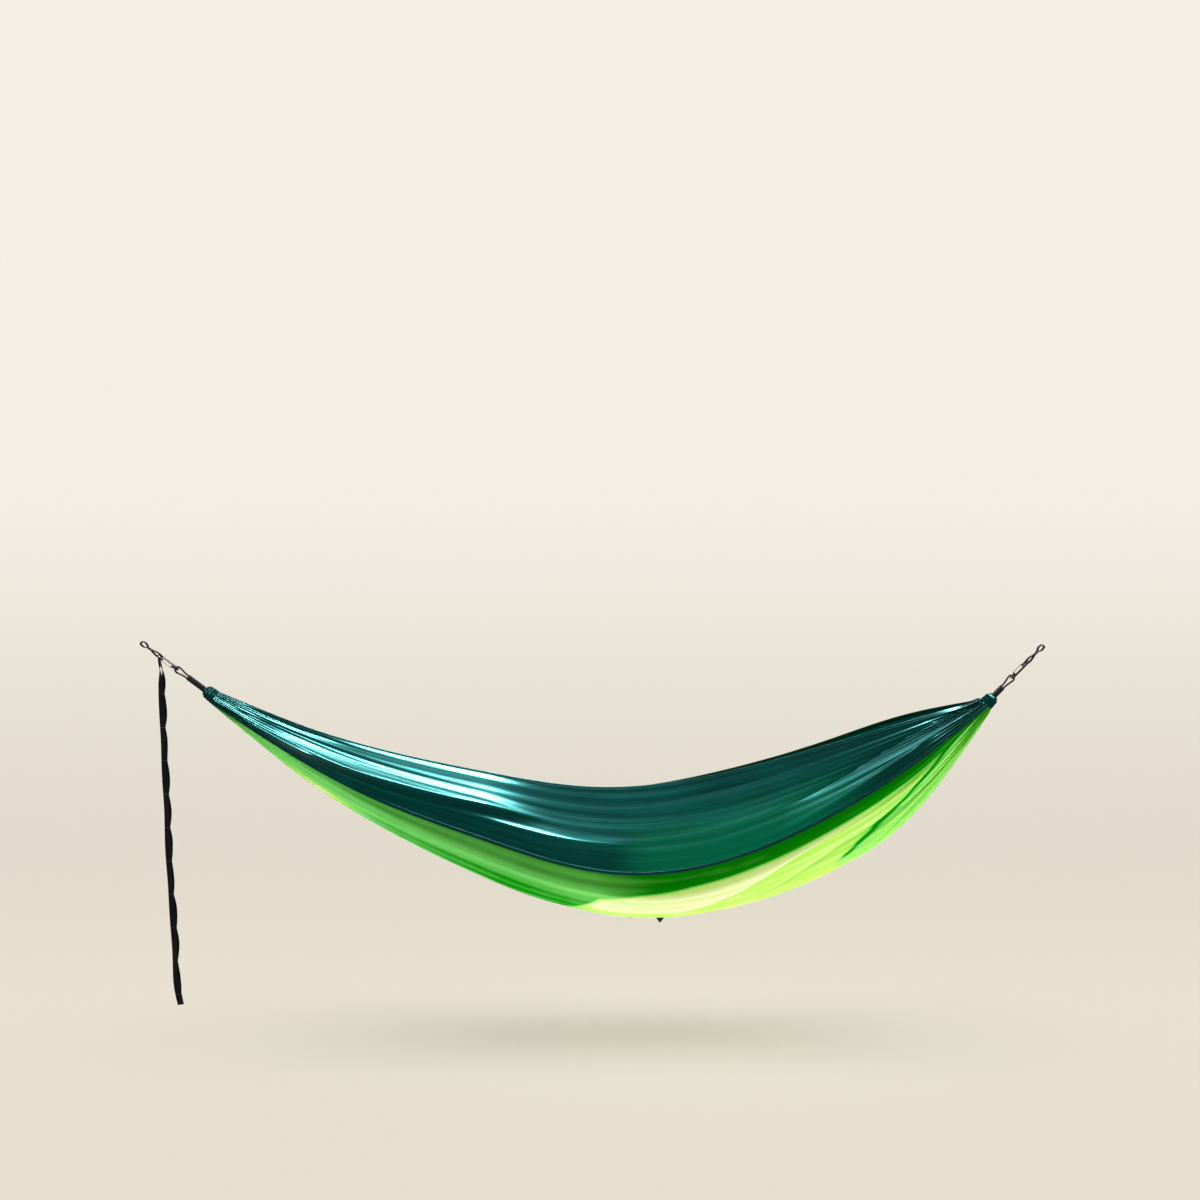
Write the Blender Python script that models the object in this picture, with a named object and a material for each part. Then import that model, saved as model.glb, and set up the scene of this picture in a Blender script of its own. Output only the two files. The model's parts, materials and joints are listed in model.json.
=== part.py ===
"""Parachute hammock, hung between two anchors.

A three-panel bed of thin nylon is gathered into a pleated channel at each end. A rope is knotted
inside each channel, whipped outside it, and its eye hangs on a wire-gate carabiner. Each carabiner
is clipped into a webbing tree strap, whose outer eye is what a hook or a hitch holds. The left
strap goes on below its carabiner as a hanging tail of sewn loops. An empty stuff sack hangs from
the far seam.

Metres, +Z up, +X from the left anchor to the right one, +Y away from the viewer. The origin is the
flat seat inside the left strap's outer eye.

Each end is built in a frame of its own: x runs from the anchor's seat along the pull towards the
bed, z is square to it and up, and y is level.
"""

import math

import bmesh
import bpy
import numpy as np
from mathutils import Matrix, Vector

GAP = 0.0003

# Where the two ends are held, and how steeply each pulls.
ANCHOR_SPAN = 2.884
RIGHT_ANCHOR_DROP = 0.010
LEFT_PULL_DEG = 36.7
RIGHT_PULL_DEG = 45.6

# Tree strap webbing: the head is one band, tacked between its outer eye and its carabiner loop.
WEB_WIDTH = 0.025
WEB_THICK = 0.002
EYE_LENGTH = 0.028
EYE_SEAT_HALF = 0.004
EYE_SWELL = 0.0022
HEAD_TACK = 0.012
HEAD_LOOP = 0.030
# Half openings of the eye and of the loop: (share of the length, share of the widest half).
EYE_SHAPE = ((0.15, 0.82), (0.40, 1.0), (0.70, 0.55), (0.88, 0.17))
HEAD_LOOP_SHAPE = ((0.12, 0.16), (0.40, 0.70), (0.65, 1.0))
LOOP_END_SHARE = 0.35
BAND_NOSE_SHARE = 0.2

# The tail of sewn loops below the left carabiner; its route is in shares of its loops' length,
# rightwards and down from its top.
LOOP_PITCH = 0.109
LOOP_COUNT = 10
LOOP_BULGE = 0.0078
LOOP_FULLNESS = 0.8
LOOP_STATIONS = (0.14, 0.32, 0.5, 0.68, 0.86)
LOOP_TACK = 0.009
TAIL_OFF_HEAD = 0.0006
TAIL_START = 0.004
TAIL_END = 0.030
TAIL_TURN_DEG = 55.0
TAIL_TURN_FROM = 0.004
TAIL_TURN_OVER = 0.09
TAIL_RINGS = 240
TAIL_ROUTE = (
    (0.0012, 0.015),
    (0.0040, 0.046),
    (0.0070, 0.101),
    (0.0110, 0.211),
    (0.0168, 0.330),
    (0.0225, 0.450),
    (0.0275, 0.569),
    (0.0365, 0.711),
    (0.0435, 0.807),
    (0.0475, 0.895),
    (0.0525, 0.963),
    (0.0635, 1.017),
)

# Carabiner: bent from one rod, narrower at the rope, wider at the strap.
ROD = 0.007
ROD_SIDES = 12
ROD_STEP = 0.0028
CARABINER_PITCH = 0.073
SPINE_OUT = 0.0185
ROPE_CORNER_OUT = 0.0155
STRAP_CORNER_OUT = 0.0215
ROPE_CORNER_RADIUS = 0.010
STRAP_CORNER_RADIUS = 0.009
HINGE_FROM_CORNER = 0.0165
HINGE_ROD_PAST = 0.0036
NOSE_FROM_CORNER = 0.0165
NOSE_PAST_NOTCH = 0.0022
GATE_WIRE = 0.0028
GATE_SIDES = 10
GATE_STEP = 0.0012
GATE_BEND_SHARE = 0.62
DRILL_SIDES = 16
GATE_CLEARANCE = 0.0004
NOTCH_DEPTH = 0.0004

# Suspension rope.
ROPE = 0.006
ROPE_RINGS = 54
ROPE_SIDES = 10
EYE_BEND_RADIUS = 0.0095
EYE_SEAT_GAP = 0.0006
LEG_APART = 0.0088
EYE_REACH = 0.040
EYE_TURN_DEG = 100.0
EYE_TAPER_AT = 0.55
EYE_TAPER_SHARE = 0.30
LEFT_ROPE_REACH = 0.110
RIGHT_ROPE_REACH = 0.081
WHIPPING_WALL = 0.0024
WHIPPING_TURN = 0.0045
WHIPPING_GROOVE_SHARE = 0.72
WHIPPING_GROOVE = 0.0001
WHIPPING_SIDES = 18
KNOT_RADIUS = 0.0115
KNOT_LENGTH = 0.020
KNOT_WRAPS = 4
KNOT_WRAP = ((0.0, 0.80), (0.25, 0.96), (0.5, 1.0), (0.75, 0.96))
KNOT_NARROWING = 0.12
KNOT_END_SHARE = 0.7
KNOT_SIDES = 16

# Gathered end channel. Its outline: (share of its length, share of its full size, depth of pleats).
CHANNEL_LENGTH = 0.038
CHANNEL_HALF_HIGH = 0.026
CHANNEL_HALF_WIDE = 0.021
CHANNEL_PLEATS = 13
CHANNEL_PLEAT_DEPTH = 0.0016
CHANNEL_OUTLINE = (
    (0.0, 0.52, 0.2),
    (0.12, 0.66, 0.7),
    (0.30, 0.79, 1.0),
    (0.46, 0.84, 1.0),
    (0.56, 0.79, 1.0),
    (0.68, 0.84, 1.0),
    (1.0, 0.93, 0.8),
)

# Bed: the cut widths of the panels, and the cloth as hung.
SIDE_WIDTH = 0.34
CENTRE_WIDTH = 0.72
CLOTH = 0.002
SAG = 0.678
HALF_OPEN = 0.232
GATHER_HALF_HIGH = 0.022
GATHER_HALF_WIDE = 0.017
GATHER_OPEN_DEG = 30.0
LEFT_GATHER_CROWDING = 1.6
RIGHT_GATHER_CROWDING = 1.0
LENGTH_CELLS = 34
SIDE_CELLS = 11
CENTRE_CELLS = 16
END_CELLS_SHARE = 0.45
EDGE_STEP = 0.0001

# The long lines of the bed at shares of the way from the left gather to the right one: how far each
# hangs below the straight line between the gathers, in shares of the sag, and how far it stands out
# from the bed's middle plane, in shares of the half opening.
SHARES = (0.10, 0.20, 0.35, 0.50, 0.65, 0.80, 0.90)
HEM_DROP = (0.108, 0.213, 0.322, 0.388, 0.324, 0.181, 0.075)
SEAM_DROP = (0.236, 0.420, 0.612, 0.754, 0.711, 0.485, 0.268)
KEEL_DROP = (0.316, 0.548, 0.817, 0.992, 0.975, 0.780, 0.518)
HEM_OUT = (0.216, 0.336, 0.466, 0.517, 0.483, 0.353, 0.233)
SEAM_OUT = (0.323, 0.582, 0.862, 1.0, 0.927, 0.668, 0.409)
FAR_HEM_LOWER = (0.018, 0.032, 0.047, 0.044, 0.026, 0.006, -0.015)
SIDE_BULGE = 0.043
BELLY_OUT_SHARE = 0.66
BELLY_DROP_SHARE = 0.80

# Folds of the cloth. Each is a crest (or, with a minus, a groove) that follows a line given by
# places across the bed at shares along it: -1 is the near hem, 0 the keel and 1 the far hem. It
# stands out by its height, and falls away over one width towards the near hem and one away from it.
FOLDS = (
    ((0.03, 0.12, 0.20, 0.30, 0.44), (-0.582, -0.621, -0.679, -0.718, -0.772), 0.026, 0.150, 0.040),
    ((0.12, 0.30, 0.45, 0.60), (-0.582, -0.641, -0.670, -0.679), 0.007, 0.025, 0.030),
    ((0.02, 0.20), (-0.927, -0.942), -0.005, 0.020, 0.030),
    ((0.70, 0.80, 0.93, 0.99), (-0.699, -0.728, -0.864, -0.879), -0.008, 0.025, 0.050),
    ((0.66, 0.77, 0.93, 0.99), (-0.556, -0.573, -0.660, -0.709), 0.008, 0.035, 0.030),
    ((0.50, 0.65, 0.73, 0.82, 0.99), (-0.360, -0.380, -0.401, -0.411, -0.386), 0.010, 0.050, 0.070),
    ((0.58, 0.66, 0.78, 0.92, 0.99), (-0.077, -0.150, -0.319, -0.309, -0.283), -0.010, 0.025, 0.025),
    ((0.78, 0.82, 0.86, 0.92, 0.99), (-0.077, -0.118, -0.201, -0.247, -0.206), -0.009, 0.025, 0.025),
    ((0.05, 0.25, 0.48), (-0.250, -0.231, -0.200), 0.010, 0.060, 0.080),
    ((0.04, 0.25, 0.50), (0.130, 0.160, 0.190), 0.009, 0.060, 0.060),
    ((0.50, 0.75, 0.98), (0.090, 0.140, 0.200), 0.010, 0.050, 0.070),
    ((0.03, 0.20, 0.42), (0.600, 0.680, 0.760), 0.018, 0.050, 0.130),
    ((0.62, 0.80, 0.98), (0.760, 0.740, 0.820), -0.010, 0.040, 0.050),
)
FOLD_ROUNDING = 0.25
FOLD_RUN_OUT = 0.10
HEM_STIFF = 0.06

# Stuff sack, hung from the far seam by a tab at one corner.
SACK_AT_SHARE = 0.581
SACK_SIDE = 0.138
SACK_THICK = 0.014
SACK_EDGE = 0.0012
SACK_CELLS = 14
SACK_PULL_IN = 0.07
SACK_FULLNESS = 0.6
SACK_DRAPE = 0.0022
SACK_DRAPE_WAVE = 5.2
SACK_DRAPE_SLANT = 0.4
TAB_WIDTH = 0.016
TAB_LENGTH = 0.037
TAB_BOW = ((0.0, 0.0), (0.3, 0.25), (0.7, 0.8), (1.0, 1.0))
TAB_THICK = 0.0012
TAB_OFF_CLOTH = 0.0001
TAB_BELOW_SEAM = 0.004
TAB_TO_SACK = 0.0009
SACK_STANDOFF = 0.012
HANGER_STEP_ALONG = 0.004
HANGER_STEP_ACROSS = 0.01

# The sack's drawcord, a bight that hangs from its drawn-up corner, and the lock on it.
DRAWCORD = 0.0024
STRANDS_APART = 0.0030
DRAWCORD_HANG = 0.085
DRAWCORD_OFF_CORNER = 0.0014
LOCK_AT = 0.040
LOCK_LENGTH = 0.018
LOCK_RADIUS = 0.0066
LOCK_FLOOR = 0.0020
LOCK_EDGE = 0.0012
LOCK_SIDES = 20
BUTTON_RADIUS = 0.0045
BUTTON_TRAVEL = 0.0032
BUTTON_CLEARANCE = 0.0002
BUTTON_PROUD = 0.0050
CORD_AT = 0.0106
CORD_SLACK = 0.0003
LOCK_SPRING_ROOM = 0.0050
LOCK_SPRING_RADIUS = 0.0022
LOCK_SPRING_WIRE = 0.0006
LOCK_SPRING_TURNS = 2.5
LOCK_SPRING_STEPS = 30
LOCK_SPRING_SIDES = 6
CORD_SIDES = 8


def clear_scene():
    for old in list(bpy.data.objects):
        bpy.data.objects.remove(old, do_unlink=True)


def material(name, colour, roughness, metallic=0.0):
    made = bpy.data.materials.new(name)
    made.use_nodes = True
    shader = made.node_tree.nodes["Principled BSDF"]
    shader.inputs["Base Color"].default_value = (*colour, 1.0)
    shader.inputs["Roughness"].default_value = roughness
    shader.inputs["Metallic"].default_value = metallic
    return made


def add_object(name, points, faces, finish, parent=None, smooth_deg=40.0):
    """One closed mesh, with its faces turned outwards."""
    mesh = bpy.data.meshes.new(name)
    mesh.from_pydata([tuple(map(float, p)) for p in points], [], [tuple(map(int, f)) for f in faces])
    work = bmesh.new()
    work.from_mesh(mesh)
    bmesh.ops.recalc_face_normals(work, faces=work.faces)
    work.to_mesh(mesh)
    work.free()
    mesh.shade_smooth()
    mesh.set_sharp_from_angle(angle=math.radians(smooth_deg))
    mesh.materials.append(finish)
    made = bpy.data.objects.new(name, mesh)
    made.parent = parent
    bpy.context.scene.collection.objects.link(made)
    return made


def empty(name, matrix, parent=None):
    made = bpy.data.objects.new(name, None)
    bpy.context.scene.collection.objects.link(made)
    made.parent = parent
    made.matrix_basis = matrix
    return made


def cut(target, cutter):
    """Takes the cutter's shape out of the target, and leaves the cutter as a hidden guide."""
    cutter.hide_render = True
    cutter.display_type = "WIRE"
    modifier = target.modifiers.new(f"cut_{cutter.name}", "BOOLEAN")
    modifier.operation = "DIFFERENCE"
    modifier.solver = "EXACT"
    modifier.object = cutter


def spline(knots, values, at):
    """A natural cubic through the knots, read at the given places."""
    knots = np.asarray(knots, float)
    values = np.asarray(values, float)
    gaps = np.diff(knots)
    count = len(knots)
    system = np.eye(count)
    right = np.zeros((count,) + values.shape[1:])
    for i in range(1, count - 1):
        system[i, i - 1 : i + 2] = gaps[i - 1], 2 * (gaps[i - 1] + gaps[i]), gaps[i]
        right[i] = 6 * ((values[i + 1] - values[i]) / gaps[i] - (values[i] - values[i - 1]) / gaps[i - 1])
    bend = np.linalg.solve(system, right.reshape(count, -1)).reshape(right.shape)
    at = np.asarray(at, float)
    i = np.clip(np.searchsorted(knots, at) - 1, 0, count - 2)
    extra = (1,) * (values.ndim - 1)
    low = ((knots[i + 1] - at) / gaps[i]).reshape(at.shape + extra)
    high = ((at - knots[i]) / gaps[i]).reshape(at.shape + extra)
    gap = gaps[i].reshape(at.shape + extra)
    curve = (low**3 - low) * bend[i] + (high**3 - high) * bend[i + 1]
    return low * values[i] + high * values[i + 1] + curve * gap**2 / 6


def ease(share):
    """Rises smoothly from 0 to 1 as the share does."""
    share = np.clip(share, 0, 1)
    return share * share * (3 - 2 * share)


def smooth_route(points, count):
    """Evenly spaced points on a smooth curve through the route's own points."""
    points = np.asarray(points, float)
    along = np.concatenate([[0], np.cumsum(np.linalg.norm(np.diff(points, axis=0), axis=1))])
    fine = spline(along, points, np.linspace(0, along[-1], 40 * len(points)))
    run = np.concatenate([[0], np.cumsum(np.linalg.norm(np.diff(fine, axis=0), axis=1))])
    even = np.linspace(0, run[-1], count)
    return np.stack([np.interp(even, run, fine[:, k]) for k in range(3)], axis=1), run[-1]


def rounded_line(corners, radii, step):
    """Straight runs between corners, each inner corner turned as an arc of its own radius."""
    corners = [np.asarray(c, float) for c in corners]
    line = [corners[0]]
    for before, corner, after, radius in zip(corners, corners[1:], corners[2:], radii):
        back = (before - corner) / np.linalg.norm(before - corner)
        on = (after - corner) / np.linalg.norm(after - corner)
        half = math.acos(float(np.clip(back @ on, -1, 1))) / 2
        middle = (back + on) / np.linalg.norm(back + on)
        centre = corner + middle * radius / math.sin(half)
        start = corner + back * radius / math.tan(half) - centre
        end = corner + on * radius / math.tan(half) - centre
        turn = math.pi - 2 * half
        for share in np.linspace(0, 1, max(3, math.ceil(turn * radius / step)) + 1):
            mixed = start * math.sin((1 - share) * turn) + end * math.sin(share * turn)
            line.append(centre + mixed / math.sin(turn))
    line.append(corners[-1])
    return np.array(line)


def tube(points, radius, sides):
    """A round tube along the points, closed by a flat cap at each end."""
    points = np.asarray(points, float)
    tangents = np.gradient(points, axis=0)
    tangents /= np.linalg.norm(tangents, axis=1)[:, None]
    side = np.cross(tangents[0], (0.0, 1.0, 0.0))
    if np.linalg.norm(side) < 0.2:
        side = np.cross(tangents[0], (0.0, 0.0, 1.0))
    rings = []
    for point, tangent in zip(points, tangents):
        side = side - tangent * (side @ tangent)
        side /= np.linalg.norm(side)
        other = np.cross(tangent, side)
        angles = np.arange(sides) * 2 * math.pi / sides
        rings.append(point + radius * (np.cos(angles)[:, None] * side + np.sin(angles)[:, None] * other))
    return loft(rings)


def loft(rings):
    """Faces between closed rings of as many points each, with an end face on the first and last."""
    sides = len(rings[0])
    faces = []
    for i in range(len(rings) - 1):
        for k in range(sides):
            low, high = i * sides, (i + 1) * sides
            faces.append((low + k, low + (k + 1) % sides, high + (k + 1) % sides, high + k))
    faces.append(tuple(range(sides))[::-1])
    faces.append(tuple((len(rings) - 1) * sides + k for k in range(sides)))
    return np.concatenate(rings), faces


def band(cells, place):
    """A flat-sided band: quads of a side view, each corner put at both edges by place(u, v, side)."""
    corners = sorted({tuple(round(c, 7) for c in corner) for cell in cells for corner in cell})
    index = {corner: i for i, corner in enumerate(corners)}
    quads = [[index[tuple(round(c, 7) for c in corner)] for corner in cell] for cell in cells]
    points = [place(u, v, -1) for u, v in corners] + [place(u, v, 1) for u, v in corners]
    count = len(corners)
    uses = {}
    for quad in quads:
        for a, b in zip(quad, quad[1:] + quad[:1]):
            uses.setdefault(frozenset((a, b)), []).append((a, b))
    faces = [tuple(quad) for quad in quads]
    faces += [tuple(i + count for i in quad[::-1]) for quad in quads]
    faces += [(b, a, a + count, b + count) for ends in uses.values() if len(ends) == 1 for a, b in ends]
    return points, faces


def box(low, high):
    points = [(x, y, z) for x in (low[0], high[0]) for y in (low[1], high[1]) for z in (low[2], high[2])]
    faces = [(0, 1, 3, 2), (4, 6, 7, 5), (0, 4, 5, 1), (2, 3, 7, 6), (0, 2, 6, 4), (1, 5, 7, 3)]
    return points, faces


# Places along each end, from the anchor's seat.
HEAD_TACK_AT = EYE_LENGTH
HEAD_LOOP_AT = EYE_LENGTH + HEAD_TACK
STRAP_BAR_AT = HEAD_LOOP_AT + HEAD_LOOP
ROPE_BAR_AT = STRAP_BAR_AT + CARABINER_PITCH


def pull_frame(anchor, pull_deg, towards):
    """The frame of one end: x along the pull into the bed (towards is +1 or -1 along world X)."""
    pull = math.radians(pull_deg)
    inwards = Vector((towards * math.cos(pull), 0.0, -math.sin(pull)))
    up = Vector((towards * math.sin(pull), 0.0, math.cos(pull)))
    level = up.cross(inwards)
    turned = Matrix((inwards, level, up)).transposed().to_4x4()
    return Matrix.Translation(anchor) @ turned


def world(frame, x, y=0.0, z=0.0):
    return np.array(frame @ Vector((x, y, z)))


LEFT_FRAME = pull_frame(Vector((0.0, 0.0, 0.0)), LEFT_PULL_DEG, 1)
RIGHT_FRAME = pull_frame(Vector((ANCHOR_SPAN, 0.0, -RIGHT_ANCHOR_DROP)), RIGHT_PULL_DEG, -1)
LEFT_GATHER_AT = ROPE_BAR_AT + LEFT_ROPE_REACH + CHANNEL_LENGTH
RIGHT_GATHER_AT = ROPE_BAR_AT + RIGHT_ROPE_REACH + CHANNEL_LENGTH


def head_cells():
    """Side view of the strap's head: outer eye, tack, then the loop round the carabiner's bar."""
    bend = STRAP_CORNER_RADIUS - ROD / 2
    past_straight = max(0.0, WEB_WIDTH / 2 + STRAP_CORNER_RADIUS - SPINE_OUT)
    bar_drawn_in = bend - math.sqrt(bend**2 - past_straight**2)
    loop_end = STRAP_BAR_AT + ROD / 2 + bar_drawn_in + 2 * GAP
    swell = EYE_SEAT_HALF + EYE_SWELL
    loop_half = ROD / 2 + 2 * GAP
    inner = [(0.0, EYE_SEAT_HALF)]
    inner += [(share * EYE_LENGTH, half * swell) for share, half in EYE_SHAPE]
    inner += [(HEAD_TACK_AT, 0.0), (HEAD_LOOP_AT, 0.0)]
    inner += [(HEAD_LOOP_AT + share * HEAD_LOOP, half * loop_half) for share, half in HEAD_LOOP_SHAPE]
    inner += [(STRAP_BAR_AT + ROD / 2, loop_half), (loop_end, LOOP_END_SHARE * loop_half)]
    cells = []
    for (x0, z0), (x1, z1) in zip(inner, inner[1:]):
        for sign in (1, -1):
            inside = [(x0, sign * z0), (x1, sign * z1)]
            cells.append(inside + [(x1, sign * (z1 + WEB_THICK)), (x0, sign * (z0 + WEB_THICK))])
    for at, out, half in ((0.0, -WEB_THICK, inner[0][1]), (loop_end, loop_end + WEB_THICK, inner[-1][1])):
        nose = BAND_NOSE_SHARE * WEB_THICK
        cells.append([(at, half), (at, -half), (out, -half), (out, half)])
        for sign in (1, -1):
            cells.append(
                [
                    (at, sign * half),
                    (at, sign * (half + WEB_THICK)),
                    (out, sign * (half + nose)),
                    (out, sign * half),
                ]
            )
    return cells, loop_end + WEB_THICK


HEAD_CELLS, HEAD_END_AT = head_cells()


def tree_strap_head(side, frame, finish):
    half = WEB_WIDTH / 2
    points, faces = band(HEAD_CELLS, lambda u, v, edge: (u, edge * half, v))
    return add_object(f"{side}_tree_strap", points, faces, finish, frame)


def tail_route():
    """The tail's own route in the XZ plane: straight down from its bar, then a little off plumb."""
    bar = world(LEFT_FRAME, STRAP_BAR_AT)
    start = bar - np.array((0.0, 0.0, HEAD_END_AT - STRAP_BAR_AT + TAIL_OFF_HEAD))
    hangs = LOOP_PITCH * LOOP_COUNT
    return [start] + [start + hangs * np.array((x, 0.0, -z)) for x, z in TAIL_ROUTE]


def strap_tail(finish, parent):
    """Two plies of webbing, tacked at every pitch; between tacks the outer ply stands off as a loop."""
    tack_ends = [TAIL_START + LOOP_PITCH * k + LOOP_TACK for k in range(LOOP_COUNT + 1)]
    length = tack_ends[-1] + TAIL_END
    route, run = smooth_route(tail_route(), TAIL_RINGS)
    at = np.linspace(0, run, len(route))
    scale = run / length
    tangents = np.gradient(route, axis=0)
    tangents /= np.linalg.norm(tangents, axis=1)[:, None]

    def place(u, v, edge):
        s = u * scale
        point = np.array([np.interp(s, at, route[:, k]) for k in range(3)])
        tangent = np.array([np.interp(s, at, tangents[:, k]) for k in range(3)])
        tangent /= np.linalg.norm(tangent)
        turn = math.radians(TAIL_TURN_DEG) * float(ease((s - TAIL_TURN_FROM) / TAIL_TURN_OVER))
        level = np.array((0.0, 1.0, 0.0))
        front = np.cross(level, tangent)
        wide = level * math.cos(turn) + front * math.sin(turn)
        proud = np.cross(wide, tangent)
        proud *= 1 if proud[0] > 0 else -1
        return point + edge * wide * WEB_WIDTH / 2 + proud * v

    cells = []
    stations = [(0.0, 0.0)]
    stations.append((TAIL_START, 0.0))
    for k, end in enumerate(tack_ends):
        stations.append((end, 0.0))
        if k < LOOP_COUNT:
            for share in LOOP_STATIONS:
                rise = LOOP_BULGE * math.sin(math.pi * share) ** LOOP_FULLNESS
                stations.append((end + share * (LOOP_PITCH - LOOP_TACK), rise))
            stations.append((end + LOOP_PITCH - LOOP_TACK, 0.0))
    stations.append((length, 0.0))
    for (u0, v0), (u1, v1) in zip(stations, stations[1:]):
        cells.append([(u0, -WEB_THICK), (u1, -WEB_THICK), (u1, 0.0), (u0, 0.0)])
        cells.append([(u0, v0), (u1, v1), (u1, v1 + WEB_THICK), (u0, v0 + WEB_THICK)])
    points, faces = band(cells, place)
    pivot = Vector(route[0])
    made = add_object("left_strap_tail", [Vector(p) - pivot for p in points], faces, finish, parent)
    made.location = pivot
    return made


def gate_line():
    """The line of the gate's side, from the rope corner to the strap corner, and its direction."""
    start = np.array((ROPE_BAR_AT, -ROPE_CORNER_OUT, 0.0))
    end = np.array((STRAP_BAR_AT, -STRAP_CORNER_OUT, 0.0))
    return start, end, (end - start) / np.linalg.norm(end - start)


def carabiner(side, frame, finish):
    rope_corner, strap_corner, along = gate_line()
    hinge = rope_corner + along * HINGE_FROM_CORNER
    notch = strap_corner - along * NOSE_FROM_CORNER
    inner_half = ROD / 2 + GATE_CLEARANCE
    corners = [
        hinge + along * HINGE_ROD_PAST,
        rope_corner,
        (ROPE_BAR_AT, SPINE_OUT, 0.0),
        (STRAP_BAR_AT, SPINE_OUT, 0.0),
        strap_corner,
        notch - along * (GATE_WIRE / 2 + GATE_CLEARANCE + NOSE_PAST_NOTCH),
    ]
    radii = [ROPE_CORNER_RADIUS, ROPE_CORNER_RADIUS, STRAP_CORNER_RADIUS, STRAP_CORNER_RADIUS]
    line = rounded_line(corners, radii, ROD_STEP)
    points, faces = tube(line, ROD / 2, ROD_SIDES)
    body = add_object(f"{side}_carabiner", points, faces, finish, frame)

    drill_reach = ROD
    drill_line = [hinge + np.array((0, 0, z)) for z in (-drill_reach, 0.0, drill_reach)]
    points, faces = tube(drill_line, GATE_WIRE / 2 + GAP, DRILL_SIDES)
    cut(body, add_object(f"{side}_hinge_drill", points, faces, finish, frame))

    across = np.cross((0.0, 0.0, 1.0), along)
    across *= 1 if across[1] > 0 else -1
    half = GATE_WIRE / 2 + GATE_CLEARANCE
    near = GATE_WIRE / 2 + NOTCH_DEPTH
    upper, lower = notch + along * half, notch - along * half
    ring = [upper - across * near, lower - across * near, lower + across * ROD, upper + across * ROD]
    rings = [np.array(ring) + np.array((0, 0, z)) for z in (-drill_reach, drill_reach)]
    points, faces = loft(rings)
    cut(body, add_object(f"{side}_nose_notch", points, faces, finish, frame))
    return hinge, notch, inner_half


def carabiner_gate(side, frame, hinge, notch, inner_half, finish):
    """One wire, its ends in the frame's hole from both faces and its closed end in the nose's notch."""
    out = inner_half + GATE_WIRE / 2
    stub = np.array((0.0, 0.0, GAP))
    side_on = np.array((0.0, 0.0, out))
    corners = [hinge - stub, hinge - side_on, notch - side_on, notch + side_on, hinge + side_on, hinge + stub]
    bend = GATE_WIRE * GATE_BEND_SHARE
    line = rounded_line(corners, [bend, bend, bend, bend], GATE_STEP)
    points, faces = tube(line - hinge, GATE_WIRE / 2, GATE_SIDES)
    gate_frame = empty(f"{side}_gate_hinge", Matrix.Translation(Vector(hinge)), frame)
    return add_object(f"{side}_carabiner_gate", points, faces, finish, gate_frame)


def rope_loop(side, frame, reach, finish):
    """An eye round the carabiner's bar, then both legs through the whipping and the channel."""
    gather = ROPE_BAR_AT + reach
    end = gather + CHANNEL_LENGTH + 2 * GAP
    leg = LEG_APART / 2
    tip = ROPE_BAR_AT - (ROD + ROPE) / 2 - EYE_SEAT_GAP
    centre = tip + EYE_BEND_RADIUS
    neck = ROPE_BAR_AT + EYE_REACH
    bend = []
    for angle in np.radians(np.linspace(-EYE_TURN_DEG, EYE_TURN_DEG, 15)):
        bend.append((centre - EYE_BEND_RADIUS * math.cos(angle), 0.0, EYE_BEND_RADIUS * math.sin(angle)))
    taper = centre + EYE_TAPER_AT * (neck - centre)
    taper_half = leg + EYE_TAPER_SHARE * (EYE_BEND_RADIUS - leg)
    lower = [(end, 0, -leg), ((end + neck) / 2, 0, -leg), (neck, 0, -leg), (taper, 0, -taper_half)]
    upper = [(x, y, -z) for x, y, z in lower[::-1]]
    line, _ = smooth_route(lower + bend + upper, ROPE_RINGS)
    points, faces = tube(line, ROPE / 2, ROPE_SIDES)
    return add_object(f"{side}_rope_loop", points, faces, finish, frame)


def round_legs(x, sides, out):
    """A ring round both legs of the rope, clear of them by the given distance."""
    angles = (np.arange(sides) + 0.5) * 2 * math.pi / sides
    radius = (ROPE / 2 + out) / math.cos(math.pi / sides)
    high = np.sign(np.sin(angles)) * LEG_APART / 2 + radius * np.sin(angles)
    return np.stack([np.full(sides, x), radius * np.cos(angles), high], axis=1)


def whipping(side, frame, reach, finish):
    """Turns of cord laid tight round both legs, as one ribbed sleeve with an oval bore."""
    start = ROPE_BAR_AT + EYE_REACH + GAP
    end = ROPE_BAR_AT + reach - GAP
    turns = max(3, round((end - start) / WHIPPING_TURN))
    pitch = (end - start) / turns
    sides = WHIPPING_SIDES
    groove = WHIPPING_GROOVE_SHARE * WHIPPING_WALL
    rings = [round_legs(start, sides, GAP)]
    for k in range(turns):
        rings.append(round_legs(start + pitch * k + (WHIPPING_GROOVE if k else 0.0), sides, groove))
        rings.append(round_legs(start + pitch * (k + 0.5), sides, WHIPPING_WALL))
    rings += [round_legs(end, sides, groove), round_legs(end, sides, GAP)]
    points = np.concatenate(rings)
    faces = []
    for i in range(len(rings)):
        low, high = i * sides, ((i + 1) % len(rings)) * sides
        faces += [(low + k, low + (k + 1) % sides, high + (k + 1) % sides, high + k) for k in range(sides)]
    return add_object(f"{side}_rope_whipping", points, faces, finish, frame)


def rope_knot(side, frame, reach, finish):
    """A stopper knot: wraps of rope side by side, behind the channel."""
    start = ROPE_BAR_AT + reach + CHANNEL_LENGTH + 3 * GAP
    outline = []
    for k in range(KNOT_WRAPS):
        for share, out in KNOT_WRAP:
            along = (k + share) / KNOT_WRAPS
            radius = KNOT_RADIUS * out * (1 - KNOT_NARROWING * (2 * along - 1) ** 2)
            outline.append((start + KNOT_LENGTH * along, radius))
    outline.append((start + KNOT_LENGTH, KNOT_END_SHARE * KNOT_RADIUS))
    points, faces = loft(turned(outline, KNOT_SIDES))
    return add_object(f"{side}_rope_knot", points, faces, finish, frame)


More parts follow.
